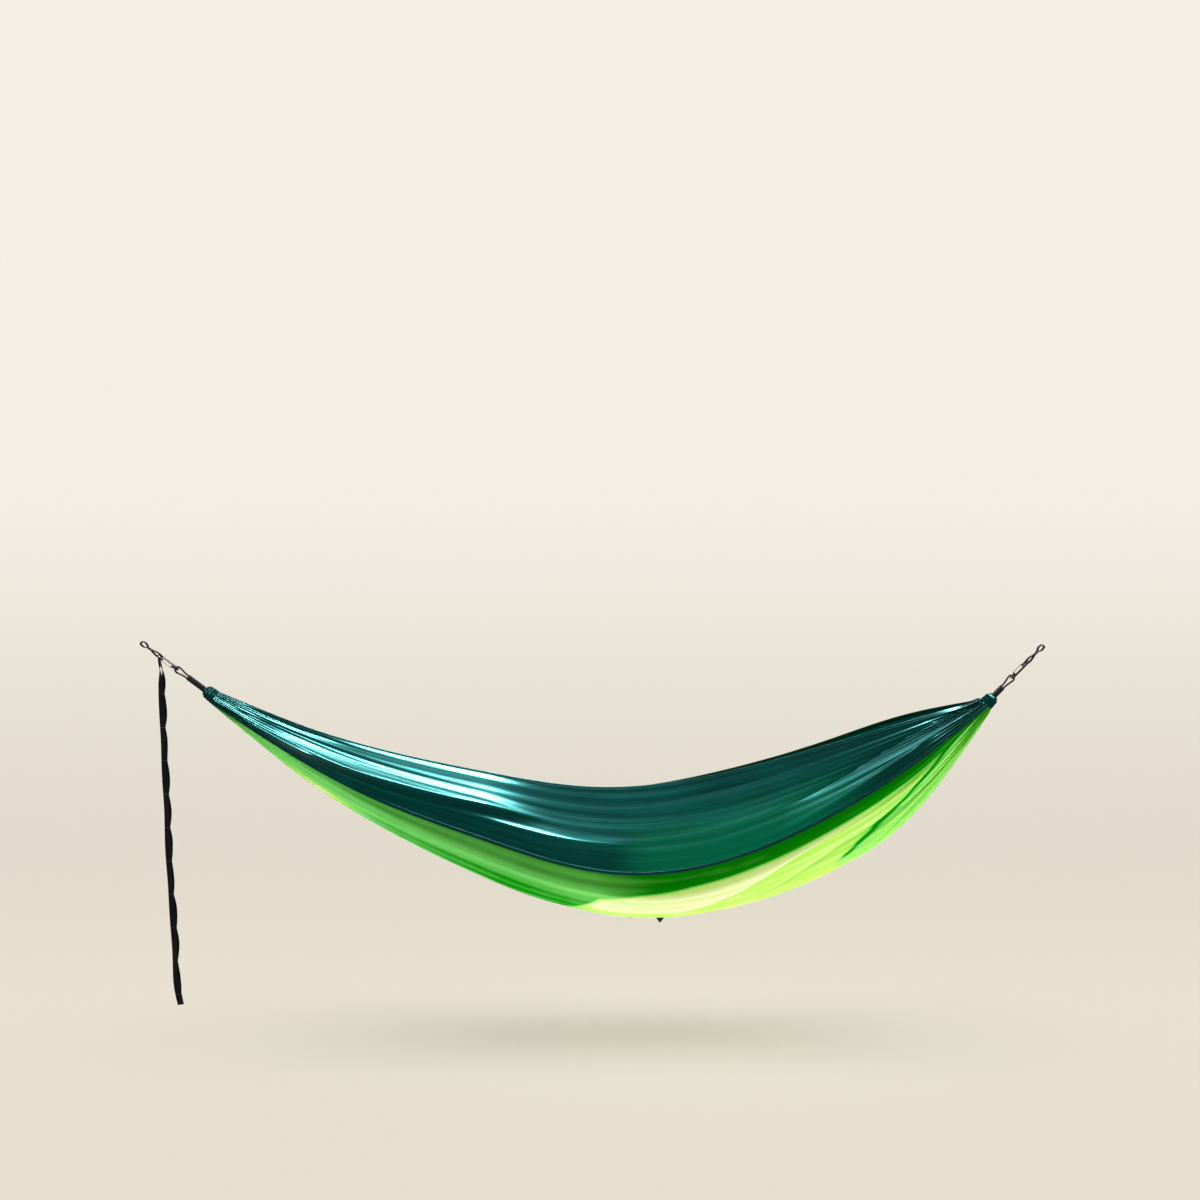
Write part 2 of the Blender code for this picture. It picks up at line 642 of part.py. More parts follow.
def end_channel(side, frame, reach, finish):
    """The bed's end sleeve drawn up into pleats round the rope: a pleated cone with an oval bore."""
    start = ROPE_BAR_AT + reach
    sides = 4 * CHANNEL_PLEATS
    angles = (np.arange(sides) + 0.5) * 2 * math.pi / sides
    wave = np.cos(CHANNEL_PLEATS * (angles - angles[0]))

    def ring(x, share, pleat):
        out = 1 + pleat * wave * CHANNEL_PLEAT_DEPTH / CHANNEL_HALF_WIDE
        wide = share * CHANNEL_HALF_WIDE * out
        high = share * CHANNEL_HALF_HIGH * out
        return np.stack([np.full(sides, x), wide * np.cos(angles), high * np.sin(angles)], axis=1)

    rings = [round_legs(start, sides, GAP)]
    rings += [ring(start + share * CHANNEL_LENGTH, out, pleat) for share, out, pleat in CHANNEL_OUTLINE]
    rings.append(round_legs(start + CHANNEL_LENGTH, sides, GAP))
    points = np.concatenate(rings)
    faces = []
    for i in range(len(rings)):
        low, high = i * sides, ((i + 1) % len(rings)) * sides
        faces += [(low + k, low + (k + 1) % sides, high + (k + 1) % sides, high + k) for k in range(sides)]
    return add_object(f"{side}_end_channel", points, faces, finish, frame)


def gather_point(frame, at, v):
    """Where the cloth's share v across (-1 near hem, 1 far hem) meets the gather.

    Crowding above 1 draws the seams down to the underside of the gather."""
    at_left = frame is LEFT_FRAME
    crowding = LEFT_GATHER_CROWDING if at_left else RIGHT_GATHER_CROWDING
    sweep = math.pi - math.radians(GATHER_OPEN_DEG) / 2
    angle = 1.5 * math.pi + sweep * math.copysign(abs(v) ** crowding, v)
    level = 1.0 if at_left else -1.0
    y = GATHER_HALF_WIDE * math.cos(angle) * level
    return world(frame, at + GAP, y, GATHER_HALF_HIGH * math.sin(angle))


def bed_rows():
    """The long lines of the bed: (share across, points at the ends and at each of SHARES)."""
    seam_at = CENTRE_WIDTH / (CENTRE_WIDTH + 2 * SIDE_WIDTH)
    left = np.array(world(LEFT_FRAME, LEFT_GATHER_AT))
    right = np.array(world(RIGHT_FRAME, RIGHT_GATHER_AT))
    shares = np.array(SHARES)
    drops = (HEM_DROP, SEAM_DROP, KEEL_DROP, FAR_HEM_LOWER)
    hem, seam, keel, lower = (SAG * np.array(drop) for drop in drops)
    hem_out, seam_out = HALF_OPEN * np.array(HEM_OUT), HALF_OPEN * np.array(SEAM_OUT)
    side_drop = (hem + seam) / 2
    side_out = (hem_out + seam_out) / 2 + HALF_OPEN * SIDE_BULGE * np.sin(math.pi * shares)
    belly_drop = seam + BELLY_DROP_SHARE * (keel - seam)
    belly_out = BELLY_OUT_SHARE * seam_out
    lines = [
        (-1.0, hem, -hem_out),
        (-(1 + seam_at) / 2, side_drop, -side_out),
        (-seam_at, seam, -seam_out),
        (-seam_at / 2, belly_drop, -belly_out),
        (0.0, keel, 0 * keel),
        (seam_at / 2, belly_drop, belly_out),
        (seam_at, seam, seam_out),
        ((1 + seam_at) / 2, side_drop + lower / 2, side_out),
        (1.0, hem + lower, hem_out),
    ]
    rows = []
    for v, drop, out in lines:
        start = gather_point(LEFT_FRAME, LEFT_GATHER_AT, v)
        end = gather_point(RIGHT_FRAME, RIGHT_GATHER_AT, v)
        middle = left + (right - left) * shares[:, None]
        fade = (start - left)[0] * (1 - shares) ** 3 + (end - right)[0] * shares**3
        row = np.stack([middle[:, 0] + fade, out, middle[:, 2] - drop], axis=1)
        rows.append((v, np.concatenate([[start], row, [end]])))
    return rows, seam_at


ROWS, SEAM_AT = bed_rows()
ROW_SHARES = np.concatenate([[0.0], SHARES, [1.0]])


def fold_height(t, v):
    """How far the folds stand out at shares t along and v across."""
    total = np.zeros(np.broadcast(t, v).shape)
    for shares, places, height, near_width, far_width in FOLDS:
        off = v - spline(shares, places, np.clip(t, shares[0], shares[-1]))
        width = np.where(off < 0, near_width, far_width)
        soft = FOLD_ROUNDING * width
        fall = np.exp(-(np.sqrt(off**2 + soft**2) - soft) / width)
        runs = ease((t - shares[0]) / FOLD_RUN_OUT) * ease((shares[-1] - t) / FOLD_RUN_OUT)
        total += height * fall * runs
    return total * ease((1 - np.abs(v)) / HEM_STIFF)


def bed_surface(t, v):
    """Middle of the cloth at shares t along and v across: a grid of points, folds and all."""
    lines = np.stack([spline(ROW_SHARES, points, t) for _, points in ROWS])
    surface = spline(np.array([v for v, _ in ROWS]), lines, v)
    normal = np.cross(np.gradient(surface, v, axis=0), np.gradient(surface, t, axis=1))
    normal /= np.linalg.norm(normal, axis=2)[:, :, None]
    return surface + normal * fold_height(t[None, :], v[:, None])[:, :, None]


def bed_panel(name, v_from, v_to, cells, finish):
    """One panel of the bed: the cloth's middle surface, with half its thickness to each side."""
    crowded = 0.5 - 0.5 * np.cos(np.linspace(0, math.pi, LENGTH_CELLS + 1))
    t = END_CELLS_SHARE * crowded + (1 - END_CELLS_SHARE) * np.linspace(0, 1, LENGTH_CELLS + 1)
    v = np.linspace(v_from, v_to, cells + 1)
    fine = np.unique(np.concatenate([v, v - EDGE_STEP, v + EDGE_STEP]))
    surface = bed_surface(t, fine)
    at = np.searchsorted(fine, v)
    step = surface[np.minimum(at + 1, len(fine) - 1)] - surface[np.maximum(at - 1, 0)]
    across = step / np.linalg.norm(step, axis=2)[:, :, None]
    middle = surface[at].copy()
    middle[0] += across[0] * GAP / 2
    middle[-1] -= across[-1] * GAP / 2
    along = np.gradient(middle, axis=1)
    normal = np.cross(across, along)
    normal /= np.linalg.norm(normal, axis=2)[:, :, None]
    for end in (0, -1):
        pull = np.array((LEFT_FRAME if end == 0 else RIGHT_FRAME).to_3x3().col[0])
        normal[:, end] -= pull * (normal[:, end] @ pull)[:, None]
        normal[:, end] /= np.linalg.norm(normal[:, end], axis=1)[:, None]
    outer, inner = middle + normal * CLOTH / 2, middle - normal * CLOTH / 2
    rows, columns = cells + 1, LENGTH_CELLS + 1
    points = np.concatenate([outer.reshape(-1, 3), inner.reshape(-1, 3)])
    shift = rows * columns
    faces = []
    for i in range(rows - 1):
        for j in range(columns - 1):
            a, d = i * columns + j, (i + 1) * columns + j
            b, c = a + 1, d + 1
            faces += [(a, b, c, d), (a + shift, d + shift, c + shift, b + shift)]
    border = list(range(columns))
    border += [i * columns + columns - 1 for i in range(1, rows)]
    border += [(rows - 1) * columns + j for j in range(columns - 2, -1, -1)]
    border += [i * columns for i in range(rows - 2, 0, -1)]
    faces += [(b, a, a + shift, b + shift) for a, b in zip(border, border[1:] + border[:1])]
    return add_object(name, points, faces, finish, smooth_deg=60.0)


def sack_hanger():
    """The middle of the tab's top edge: against the outside of the far seam."""
    around = np.array((-1.0, 0.0, 1.0))
    surface = bed_surface(SACK_AT_SHARE + around * HANGER_STEP_ALONG, SEAM_AT + around * HANGER_STEP_ACROSS)
    place = surface[1, 1]
    return Vector((place[0], place[1] + CLOTH / 2 + TAB_THICK / 2 + TAB_OFF_CLOTH, place[2] - TAB_BELOW_SEAM))


def sack_tab(hanger, finish):
    """A short folded tape, sewn to the seam at its top and to the sack's corner below."""
    half = TAB_WIDTH / 2
    line = [(along * TAB_LENGTH, out * SACK_STANDOFF) for along, out in TAB_BOW]
    cells = []
    for (u0, v0), (u1, v1) in zip(line, line[1:]):
        near = [(u0, v0 - TAB_THICK / 2), (u1, v1 - TAB_THICK / 2)]
        cells.append(near + [(u1, v1 + TAB_THICK / 2), (u0, v0 + TAB_THICK / 2)])
    points, faces = band(cells, lambda u, v, edge: (edge * half, v, -u))
    made = add_object("stuff_sack_tab", points, faces, finish)
    made.location = hanger
    return made


def stuff_sack(hanger, finish):
    """An empty square sack hung by its corner: two crowned faces that meet in a thin edge."""
    grid = np.linspace(-1, 1, SACK_CELLS + 1)
    p, q = np.meshgrid(grid, grid, indexing="ij")
    pull = 1 - SACK_PULL_IN * ((1 - q**2) * np.abs(p) + (1 - p**2) * np.abs(q))
    side = SACK_SIDE / 2
    inner = (1 - p**2) * (1 - q**2)
    crown = SACK_EDGE / 2 + (SACK_THICK / 2 - SACK_EDGE / 2) * inner**SACK_FULLNESS
    folds = SACK_DRAPE * np.sin(SACK_DRAPE_WAVE * (p - SACK_DRAPE_SLANT * q)) * inner
    turn = math.radians(45)
    x = side * pull * (p * math.cos(turn) - q * math.sin(turn))
    z = side * pull * (p * math.sin(turn) + q * math.cos(turn))
    top = math.sqrt(2) * side
    corner = Vector((0.0, SACK_STANDOFF, -TAB_LENGTH - TAB_TO_SACK - top))
    front = np.stack([x, folds - crown, z], axis=2).reshape(-1, 3)
    back = np.stack([x, folds + crown, z], axis=2).reshape(-1, 3)
    count, shift = SACK_CELLS + 1, (SACK_CELLS + 1) ** 2
    faces = []
    for i in range(SACK_CELLS):
        for j in range(SACK_CELLS):
            a, b, c, d = i * count + j, (i + 1) * count + j, (i + 1) * count + j + 1, i * count + j + 1
            faces += [(a, b, c, d), (a + shift, d + shift, c + shift, b + shift)]
    border = [i * count for i in range(count)]
    border += [(count - 1) * count + j for j in range(1, count)]
    border += [i * count + count - 1 for i in range(count - 2, -1, -1)]
    border += list(range(count - 2, 0, -1))
    faces += [(b, a, a + shift, b + shift) for a, b in zip(border, border[1:] + border[:1])]
    points = np.concatenate([front, back]) + np.array(corner)
    made = add_object("stuff_sack", points, faces, finish)
    made.location = hanger
    return made


def drawcord_top(hanger):
    """Between the strands' upper ends, just off the sack's drawn-up corner."""
    half_across = math.sqrt(2) * SACK_SIDE / 2
    down = TAB_LENGTH + TAB_TO_SACK + half_across
    return hanger + Vector((-half_across - DRAWCORD_OFF_CORNER, SACK_STANDOFF, -down))


def drawcord(hanger, finish):
    """Both strands hang side by side, and turn into each other at the bottom."""
    half = STRANDS_APART / 2
    low = DRAWCORD_HANG - half
    route = [(0.0, half, -low * share) for share in (0.0, 0.25, 0.5, 0.75, 1.0)]
    for angle in np.radians((30, 60, 90, 120, 150)):
        route.append((0.0, half * math.cos(angle), -low - half * math.sin(angle)))
    route += [(0.0, -half, -low * share) for share in (1.0, 0.75, 0.5, 0.25, 0.0)]
    points, faces = tube(route, DRAWCORD / 2, CORD_SIDES)
    made = add_object("stuff_sack_drawcord", points, faces, finish)
    made.location = drawcord_top(hanger)
    return made


def turned(profile, sides):
    """A solid turned about X from (x, radius) pairs; a ring of it closes on itself if it's hollow."""
    angles = (np.arange(sides) + 0.5) * 2 * math.pi / sides
    return [np.stack([np.full(sides, x), r * np.cos(angles), r * np.sin(angles)], axis=1) for x, r in profile]


def cord_lock(hanger, shell, spring_finish):
    """A barrel with a sprung button; one slot goes down through both, and the cord through the slot."""
    lock = empty("cord_lock", Matrix.Translation(drawcord_top(hanger) + Vector((CORD_AT, 0.0, -LOCK_AT))))
    wide = STRANDS_APART / 2 + DRAWCORD / 2 + CORD_SLACK
    bore = BUTTON_RADIUS + BUTTON_CLEARANCE
    edge = LOCK_EDGE

    profile = [(-LOCK_LENGTH, bore), (-LOCK_LENGTH, LOCK_RADIUS - edge), (edge - LOCK_LENGTH, LOCK_RADIUS)]
    profile += [(-edge, LOCK_RADIUS), (0.0, LOCK_RADIUS - edge)]
    rings = turned([(-LOCK_FLOOR, bore)] + profile, LOCK_SIDES)
    points, faces = loft(rings)
    body = add_object("cord_lock_body", points, faces, shell, lock)
    half = DRAWCORD / 2 + CORD_SLACK
    reach = 1.5 * LOCK_RADIUS
    points, faces = box((-CORD_AT - half, -wide, -reach), (-CORD_AT + half, wide, reach))
    cut(body, add_object("lock_slot", points, faces, shell, lock))

    inner = -LOCK_FLOOR - LOCK_SPRING_ROOM
    outer = -LOCK_LENGTH - BUTTON_PROUD
    profile = [(inner, BUTTON_RADIUS), (outer + edge, BUTTON_RADIUS), (outer, BUTTON_RADIUS - edge)]
    points, faces = loft(turned(profile, LOCK_SIDES))
    button = add_object("cord_lock_button", points, faces, shell, lock)
    near = -CORD_AT + half
    points, faces = box((near - 2 * half - BUTTON_TRAVEL, -wide, -reach), (near, wide, reach))
    cut(button, add_object("button_slot", points, faces, shell, lock))

    steps = LOCK_SPRING_STEPS
    start, end = -LOCK_FLOOR - LOCK_SPRING_WIRE / 2 - GAP / 3, inner + LOCK_SPRING_WIRE / 2 + GAP / 3
    coil = []
    for k in range(steps + 1):
        angle = 2 * math.pi * LOCK_SPRING_TURNS * k / steps
        x = start + (end - start) * k / steps
        coil.append((x, LOCK_SPRING_RADIUS * math.cos(angle), LOCK_SPRING_RADIUS * math.sin(angle)))
    points, faces = tube(coil, LOCK_SPRING_WIRE / 2, LOCK_SPRING_SIDES)
    add_object("cord_lock_spring", points, faces, spring_finish, lock)


def build():
    clear_scene()
    teal = material("teal_nylon", (0.0, 0.13, 0.12), 0.45)
    lime = material("lime_nylon", (0.16, 0.55, 0.03), 0.45)
    black_rope = material("black_rope", (0.012, 0.012, 0.018), 0.8)
    black_cord = material("black_cord", (0.010, 0.010, 0.014), 0.75)
    webbing = material("black_webbing", (0.010, 0.010, 0.020), 0.7)
    alloy = material("black_alloy", (0.02, 0.02, 0.022), 0.35, 1.0)
    lock_plastic = material("lock_plastic", (0.015, 0.015, 0.017), 0.5)
    wire = material("gate_wire", (0.09, 0.09, 0.10), 0.3, 1.0)

    ends = (("left", LEFT_FRAME, LEFT_ROPE_REACH), ("right", RIGHT_FRAME, RIGHT_ROPE_REACH))
    for side, matrix, reach in ends:
        frame = empty(f"{side}_end", matrix)
        tree_strap_head(side, frame, webbing)
        hinge, notch, inner_half = carabiner(side, frame, alloy)
        carabiner_gate(side, frame, hinge, notch, inner_half, wire)
        rope_loop(side, frame, reach, black_rope)
        whipping(side, frame, reach, black_cord)
        rope_knot(side, frame, reach, black_rope)
        end_channel(side, frame, reach, teal)
    strap_tail(webbing, None)

    bed_panel("near_side_panel", -1.0, -SEAM_AT, SIDE_CELLS, teal)
    bed_panel("centre_panel", -SEAM_AT, SEAM_AT, CENTRE_CELLS, lime)
    bed_panel("far_side_panel", SEAM_AT, 1.0, SIDE_CELLS, teal)

    hanger = sack_hanger()
    sack_tab(hanger, webbing)
    stuff_sack(hanger, teal)
    drawcord(hanger, black_cord)
    cord_lock(hanger, lock_plastic, wire)


build()
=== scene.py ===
"""Looks of the parachute hammock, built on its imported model.

Metres, +Z up, +X from the left anchor to the right one, +Y away from the camera.

The bed is one surface over two parameters: t runs from the left gather (0) to the right one (1), and
v runs across the cloth from the near hem (-1) over the keel (0) to the far hem (1). Everything at an
end is placed in that end's frame: x runs from the anchor's seat along the pull, z is square to it and
up, and y is level.
"""

import json
import math

import bmesh
import bpy
import numpy as np
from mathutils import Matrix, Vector


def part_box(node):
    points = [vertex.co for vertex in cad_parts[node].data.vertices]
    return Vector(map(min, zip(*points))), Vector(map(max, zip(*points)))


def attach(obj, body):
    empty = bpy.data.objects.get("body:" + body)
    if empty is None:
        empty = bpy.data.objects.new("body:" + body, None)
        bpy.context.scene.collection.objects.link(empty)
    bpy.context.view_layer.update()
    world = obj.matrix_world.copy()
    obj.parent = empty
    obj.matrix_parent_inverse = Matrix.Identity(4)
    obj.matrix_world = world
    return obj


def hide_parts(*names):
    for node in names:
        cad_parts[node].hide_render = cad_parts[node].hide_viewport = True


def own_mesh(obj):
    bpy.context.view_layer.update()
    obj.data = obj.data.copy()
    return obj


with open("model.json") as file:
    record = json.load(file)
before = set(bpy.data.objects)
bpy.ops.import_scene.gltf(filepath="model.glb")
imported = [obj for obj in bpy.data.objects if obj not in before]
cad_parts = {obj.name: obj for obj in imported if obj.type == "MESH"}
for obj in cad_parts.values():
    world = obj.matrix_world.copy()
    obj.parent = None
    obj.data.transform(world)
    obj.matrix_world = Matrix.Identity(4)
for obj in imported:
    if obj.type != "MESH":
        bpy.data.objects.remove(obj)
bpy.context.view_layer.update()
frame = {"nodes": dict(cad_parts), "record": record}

RECORD = frame["record"]
JOINTS = {joint["name"]: joint for joint in RECORD["behaviour"]["joints"]}
MOUNTS = {mount["name"]: mount for mount in RECORD["mounts"]}

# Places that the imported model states.
LEFT_ANCHOR = np.array(MOUNTS["left_anchor_seat"]["pos_m"], float)
RIGHT_ANCHOR = np.array(MOUNTS["right_anchor_seat"]["pos_m"], float)
LEFT_PULL = np.array(MOUNTS["left_anchor_seat"]["axis"], float)
RIGHT_PULL = np.array(MOUNTS["right_anchor_seat"]["axis"], float)
ROPE_BAR_AT = float(np.linalg.norm(np.array(JOINTS["bed_swing"]["pos_m"]) - LEFT_ANCHOR))
STRAP_BAR_AT = float(np.linalg.norm(np.array(JOINTS["strap_tail_swing"]["pos_m"]) - LEFT_ANCHOR))

# Webbing.
WEB_WIDTH = 0.025
WEB_THICK = 0.002
PLY_GAP = 0.0001
WEB_EDGE = 0.0008
EYE_LENGTH = 0.028
EYE_SEAT_HALF = 0.004
EYE_SWELL = 0.0022
HEAD_TACK = 0.012
ROD = 0.007
LOOP_PITCH = 0.109
LOOP_COUNT = 10
LOOP_BULGE = 0.0078
LOOP_TACK = 0.009
TACK_HALF = 0.42 * WEB_WIDTH
TACK_REACH = 0.0013
TACK_IN = 0.0018
TACK_ROWS = 15
TAIL_START = 0.004
TAIL_END = 0.030
TAIL_TURN_DEG = 55.0
TAIL_TURN_FROM = 0.004
TAIL_TURN_OVER = 0.09
TAIL_TWIST_DEG = 7.0
TAIL_LAST_TACK = 0.006
TAIL_TOP_BELOW_BAR = 0.0076
TAIL_ROUTE = (
    (0.0012, 0.015),
    (0.0040, 0.046),
    (0.0070, 0.101),
    (0.0110, 0.211),
    (0.0168, 0.330),
    (0.0225, 0.450),
    (0.0275, 0.569),
    (0.0365, 0.711),
    (0.0435, 0.807),
    (0.0475, 0.895),
    (0.0525, 0.963),
    (0.0635, 1.017),
)

# Suspension rope.
ROPE = 0.006
EYE_BEND_RADIUS = 0.0095
LEG_APART = 0.0088
EYE_REACH = 0.040
LEFT_ROPE_REACH = 0.110
RIGHT_ROPE_REACH = 0.081
WHIPPING_CORD = 0.0023
CHANNEL_LENGTH = 0.038
CHANNEL_HALF_HIGH = 0.026
CHANNEL_HALF_WIDE = 0.021
KNOT_RADIUS = 0.0115
KNOT_LENGTH = 0.020
KNOT_TURNS = 2.6
KNOT_OFF_CHANNEL = 0.0009
CLEARANCE = 0.0006
WHIPPING_INSET = 0.0015
WHIPPING_SPACING = 1.02
WHIPPING_OFF_ROPE = 0.0002
SLEEVE_PLEATS = 26
SLEEVE_FINE_PLEATS = 57
SLEEVE_OFF_ROPE = 0.0008
SLEEVE_DRAWN = 0.9

# Bed: its flat size, and how it hangs, in the same long lines as its solids.
SIDE_WIDTH = 0.34
CENTRE_WIDTH = 0.72
HALF_CLOTH = SIDE_WIDTH + CENTRE_WIDTH / 2
SIDE_AREA = 0.62
CENTRE_AREA = 1.35
SAG = 0.678
HALF_OPEN = 0.232
GATHER_HALF_HIGH = 0.022
GATHER_HALF_WIDE = 0.017
GATHER_OPEN_DEG = 30.0
GATHER_INSET = 0.0003
LEFT_GATHER_CROWDING = 2.1
RIGHT_GATHER_CROWDING = 1.0
SHARES = (0.10, 0.20, 0.35, 0.50, 0.65, 0.80, 0.90)
HEM_DROP = (0.108, 0.213, 0.322, 0.388, 0.324, 0.181, 0.075)
SEAM_DROP = (0.236, 0.420, 0.612, 0.754, 0.711, 0.485, 0.268)
KEEL_DROP = (0.316, 0.548, 0.817, 0.992, 0.975, 0.780, 0.518)
HEM_OUT = (0.216, 0.336, 0.466, 0.517, 0.483, 0.353, 0.233)
SEAM_OUT = (0.323, 0.582, 0.862, 1.0, 0.927, 0.668, 0.409)
FAR_HEM_LOWER = (0.018, 0.032, 0.047, 0.044, 0.026, 0.006, -0.015)
SIDE_BULGE = 0.043
BELLY_OUT_SHARE = 0.66
BELLY_DROP_SHARE = 0.80

# Main folds: places across at shares along, height, and the widths of the fall to each side.
FOLDS = (
    ((0.03, 0.12, 0.20, 0.30, 0.44), (-0.582, -0.621, -0.679, -0.718, -0.772), 0.029, 0.130, 0.040),
    ((0.12, 0.30, 0.45, 0.60), (-0.582, -0.641, -0.670, -0.679), 0.007, 0.025, 0.030),
    ((0.02, 0.20), (-0.927, -0.942), -0.005, 0.020, 0.030),
    ((0.70, 0.80, 0.93, 0.99), (-0.699, -0.728, -0.864, -0.879), -0.008, 0.025, 0.050),
    ((0.66, 0.77, 0.93, 0.99), (-0.556, -0.573, -0.660, -0.709), 0.008, 0.035, 0.030),
    ((0.50, 0.65, 0.73, 0.82, 0.99), (-0.360, -0.380, -0.401, -0.411, -0.386), 0.010, 0.050, 0.070),
    ((0.58, 0.66, 0.78, 0.92, 0.99), (-0.077, -0.150, -0.319, -0.309, -0.283), -0.010, 0.025, 0.025),
    ((0.78, 0.82, 0.86, 0.92, 0.99), (-0.077, -0.118, -0.201, -0.247, -0.206), -0.009, 0.025, 0.025),
    ((0.05, 0.25, 0.48), (-0.250, -0.231, -0.200), 0.010, 0.060, 0.080),
    ((0.04, 0.25, 0.50), (0.130, 0.160, 0.190), 0.009, 0.060, 0.060),
    ((0.50, 0.75, 0.98), (0.090, 0.140, 0.200), 0.010, 0.050, 0.070),
    ((0.03, 0.20, 0.42), (0.600, 0.680, 0.760), 0.018, 0.050, 0.130),
    ((0.62, 0.80, 0.98), (0.760, 0.740, 0.820), -0.010, 0.040, 0.050),
)
FOLD_ROUNDING = 0.10
FOLD_RUN_OUT = 0.10
HEM_STIFF = 0.06

# Fine relief of the cloth.
PLEATS_ACROSS = 46
LEFT_PLEAT_HEIGHT = 0.0020
RIGHT_PLEAT_HEIGHT = 0.0036
LEFT_PLEAT_REACH = 0.065
RIGHT_PLEAT_REACH = 0.120
WRINKLES = 60
WRINKLE_HEIGHT = 0.0003
WRINKLE_SEED = 11
WRINKLE_SPREAD = 0.35
# Painted shade in the cloth's colour: the bend across that counts as a full fold, how much darker the cloth
# is painted towards the right gather and from which share along, and the share of that on the centre panel.
CREST_BEND = 26.0
RIGHT_PAINTED_SHADE = 1.3
RIGHT_PAINTED_SHADE_FROM = 0.76
CENTRE_PAINTED_SHADE_SHARE = 0.4
# Painted light in the cloth's glow colour: the painted shade level of the centre panel's left part, and a
# ramp stop below full painted sunlight.
HALF_PAINTED_LIGHT = 0.3
MOST_PAINTED_LIGHT = 0.76

# The nylon's threads in a metre, its deepest bump in metres and its coat's roughness, and how much
# paler the high places of a moulded grain are.
NYLON_THREADS = 2400.0
NYLON_BUMP = 0.0016
NYLON_COAT_ROUGHNESS = 0.20
GRAIN_PALER = 1.3

# Painted light in the cloth's glow colour: the edge of a painted pool of sunlight in the belly as shares
# along and metres from the seam, and the two creases that cross it, past which it is painted darker, as
# shares along and places across.
PAINTED_SUN_FROM = 0.43
PAINTED_SUN_EDGE = (
    (0.43, 0.45, 0.50, 0.55, 0.62, 0.70, 0.80, 1.0),
    (0.26, 0.25, 0.112, 0.081, 0.060, 0.051, 0.046, 0.050),
)
FIRST_CREASE = (
    (0.60, 0.64, 0.69, 0.73, 0.80, 0.90, 0.99),
    (-0.230, -0.277, -0.334, -0.383, -0.412, -0.433, -0.450),
)
SECOND_CREASE = ((0.78, 0.824, 0.873, 0.925, 0.963, 0.99), (-0.200, -0.291, -0.349, -0.403, -0.446, -0.460))
SECOND_CREASE_FROM = 0.79
LEFT_CREASE = ((0.01, 0.05, 0.10), (-0.700, -0.780, -0.850))
CREASES = (
    (*FIRST_CREASE, -0.0030, 0.012, 0.022),
    (*SECOND_CREASE, -0.0050, 0.012, 0.030),
    (*LEFT_CREASE, -0.0040, 0.016, 0.030),
    ((0.38, 0.50, 0.62), (-0.668, -0.676, -0.679), -0.0045, 0.030, 0.030),
)
ALONG_CELLS = 400
SIDE_CELLS = 96
CENTRE_CELLS = 150

# Hems, seams and their stitching.
EDGE_STEP = 0.004
HEM_WIDTH = 0.012
HEM_THICK = 0.0014
SEAM_WIDTH = 0.011
SEAM_THICK = 0.0012
SEAM_PROUD = 0.0003
HEM_STITCH_IN = 0.0022
SEAM_STITCH_IN = 0.0018
STITCH_LENGTH = 0.0032
STITCH_PITCH = 0.0046
THREAD = 0.00045
STITCH_RINGS = 5
STITCH_SIDES = 5
STITCH_DIP = 0.35

# Stuff sack.
SACK_SIDE = 0.138
SACK_THICK = 0.014
SACK_EDGE = 0.0012
SACK_CELLS = 110
SACK_PULL = 0.07
WELT_SECTION = (0.0032, 0.0020)
TAB_WIDTH = 0.016
TAB_LENGTH = 0.037
TAB_THICK = 0.0012
TAB_TO_SACK = 0.0009
SACK_STANDOFF = 0.012
DRAWCORD = 0.0024
STRANDS_APART = 0.0030
DRAWCORD_HANG = 0.085
DRAWCORD_OFF_CORNER = 0.0014

# Camera and lamps. A lamp has its direction, strength and size in degrees, and says whether it lights
# surfaces, shows in reflections and lights the stage.
CAMERA_AT = (1.4666, -5.76, 0.1366)
CAMERA_LENS = 54.0
LAMPS = (
    ("sun", (0.30, -0.27, -0.92), 2.7, 6, True, False, False),
    ("overhead", (-0.02, 0.10, -0.995), 0.9, 12, True, False, False),
    ("sheen", (-0.13, 0.11, -0.99), 24.5, 15, False, True, False),
    ("front", (-0.20, 0.90, -0.35), 0.45, 50, True, False, False),
    ("floor_light", (0.0, 0.02, -1.0), 3.0, 60, True, True, True),
)
WORLD_LIGHT = 0.10
WORLD_PALE = (0.810, 0.755, 0.650)

# Stage: a floor that bends up into a wall, which glows more the higher it is.
STAGE_NEAR = -9.0
STAGE_FAR = 4.2
STAGE_BEND = 2.4
STAGE_HIGH = 7.0
STAGE_MIDDLE = 1.45
STAGE_HALF = 14.0
FLOOR_AT = -1.255
STAGE_PAINT = (0.790, 0.735, 0.640)
GLOW_LOW = (0.765, 0.708, 0.605)
GLOW_HIGH = (0.900, 0.860, 0.780)
GLOW_RISE = 1.9
FLOOR_SHADE = 0.32


# Curves and grids


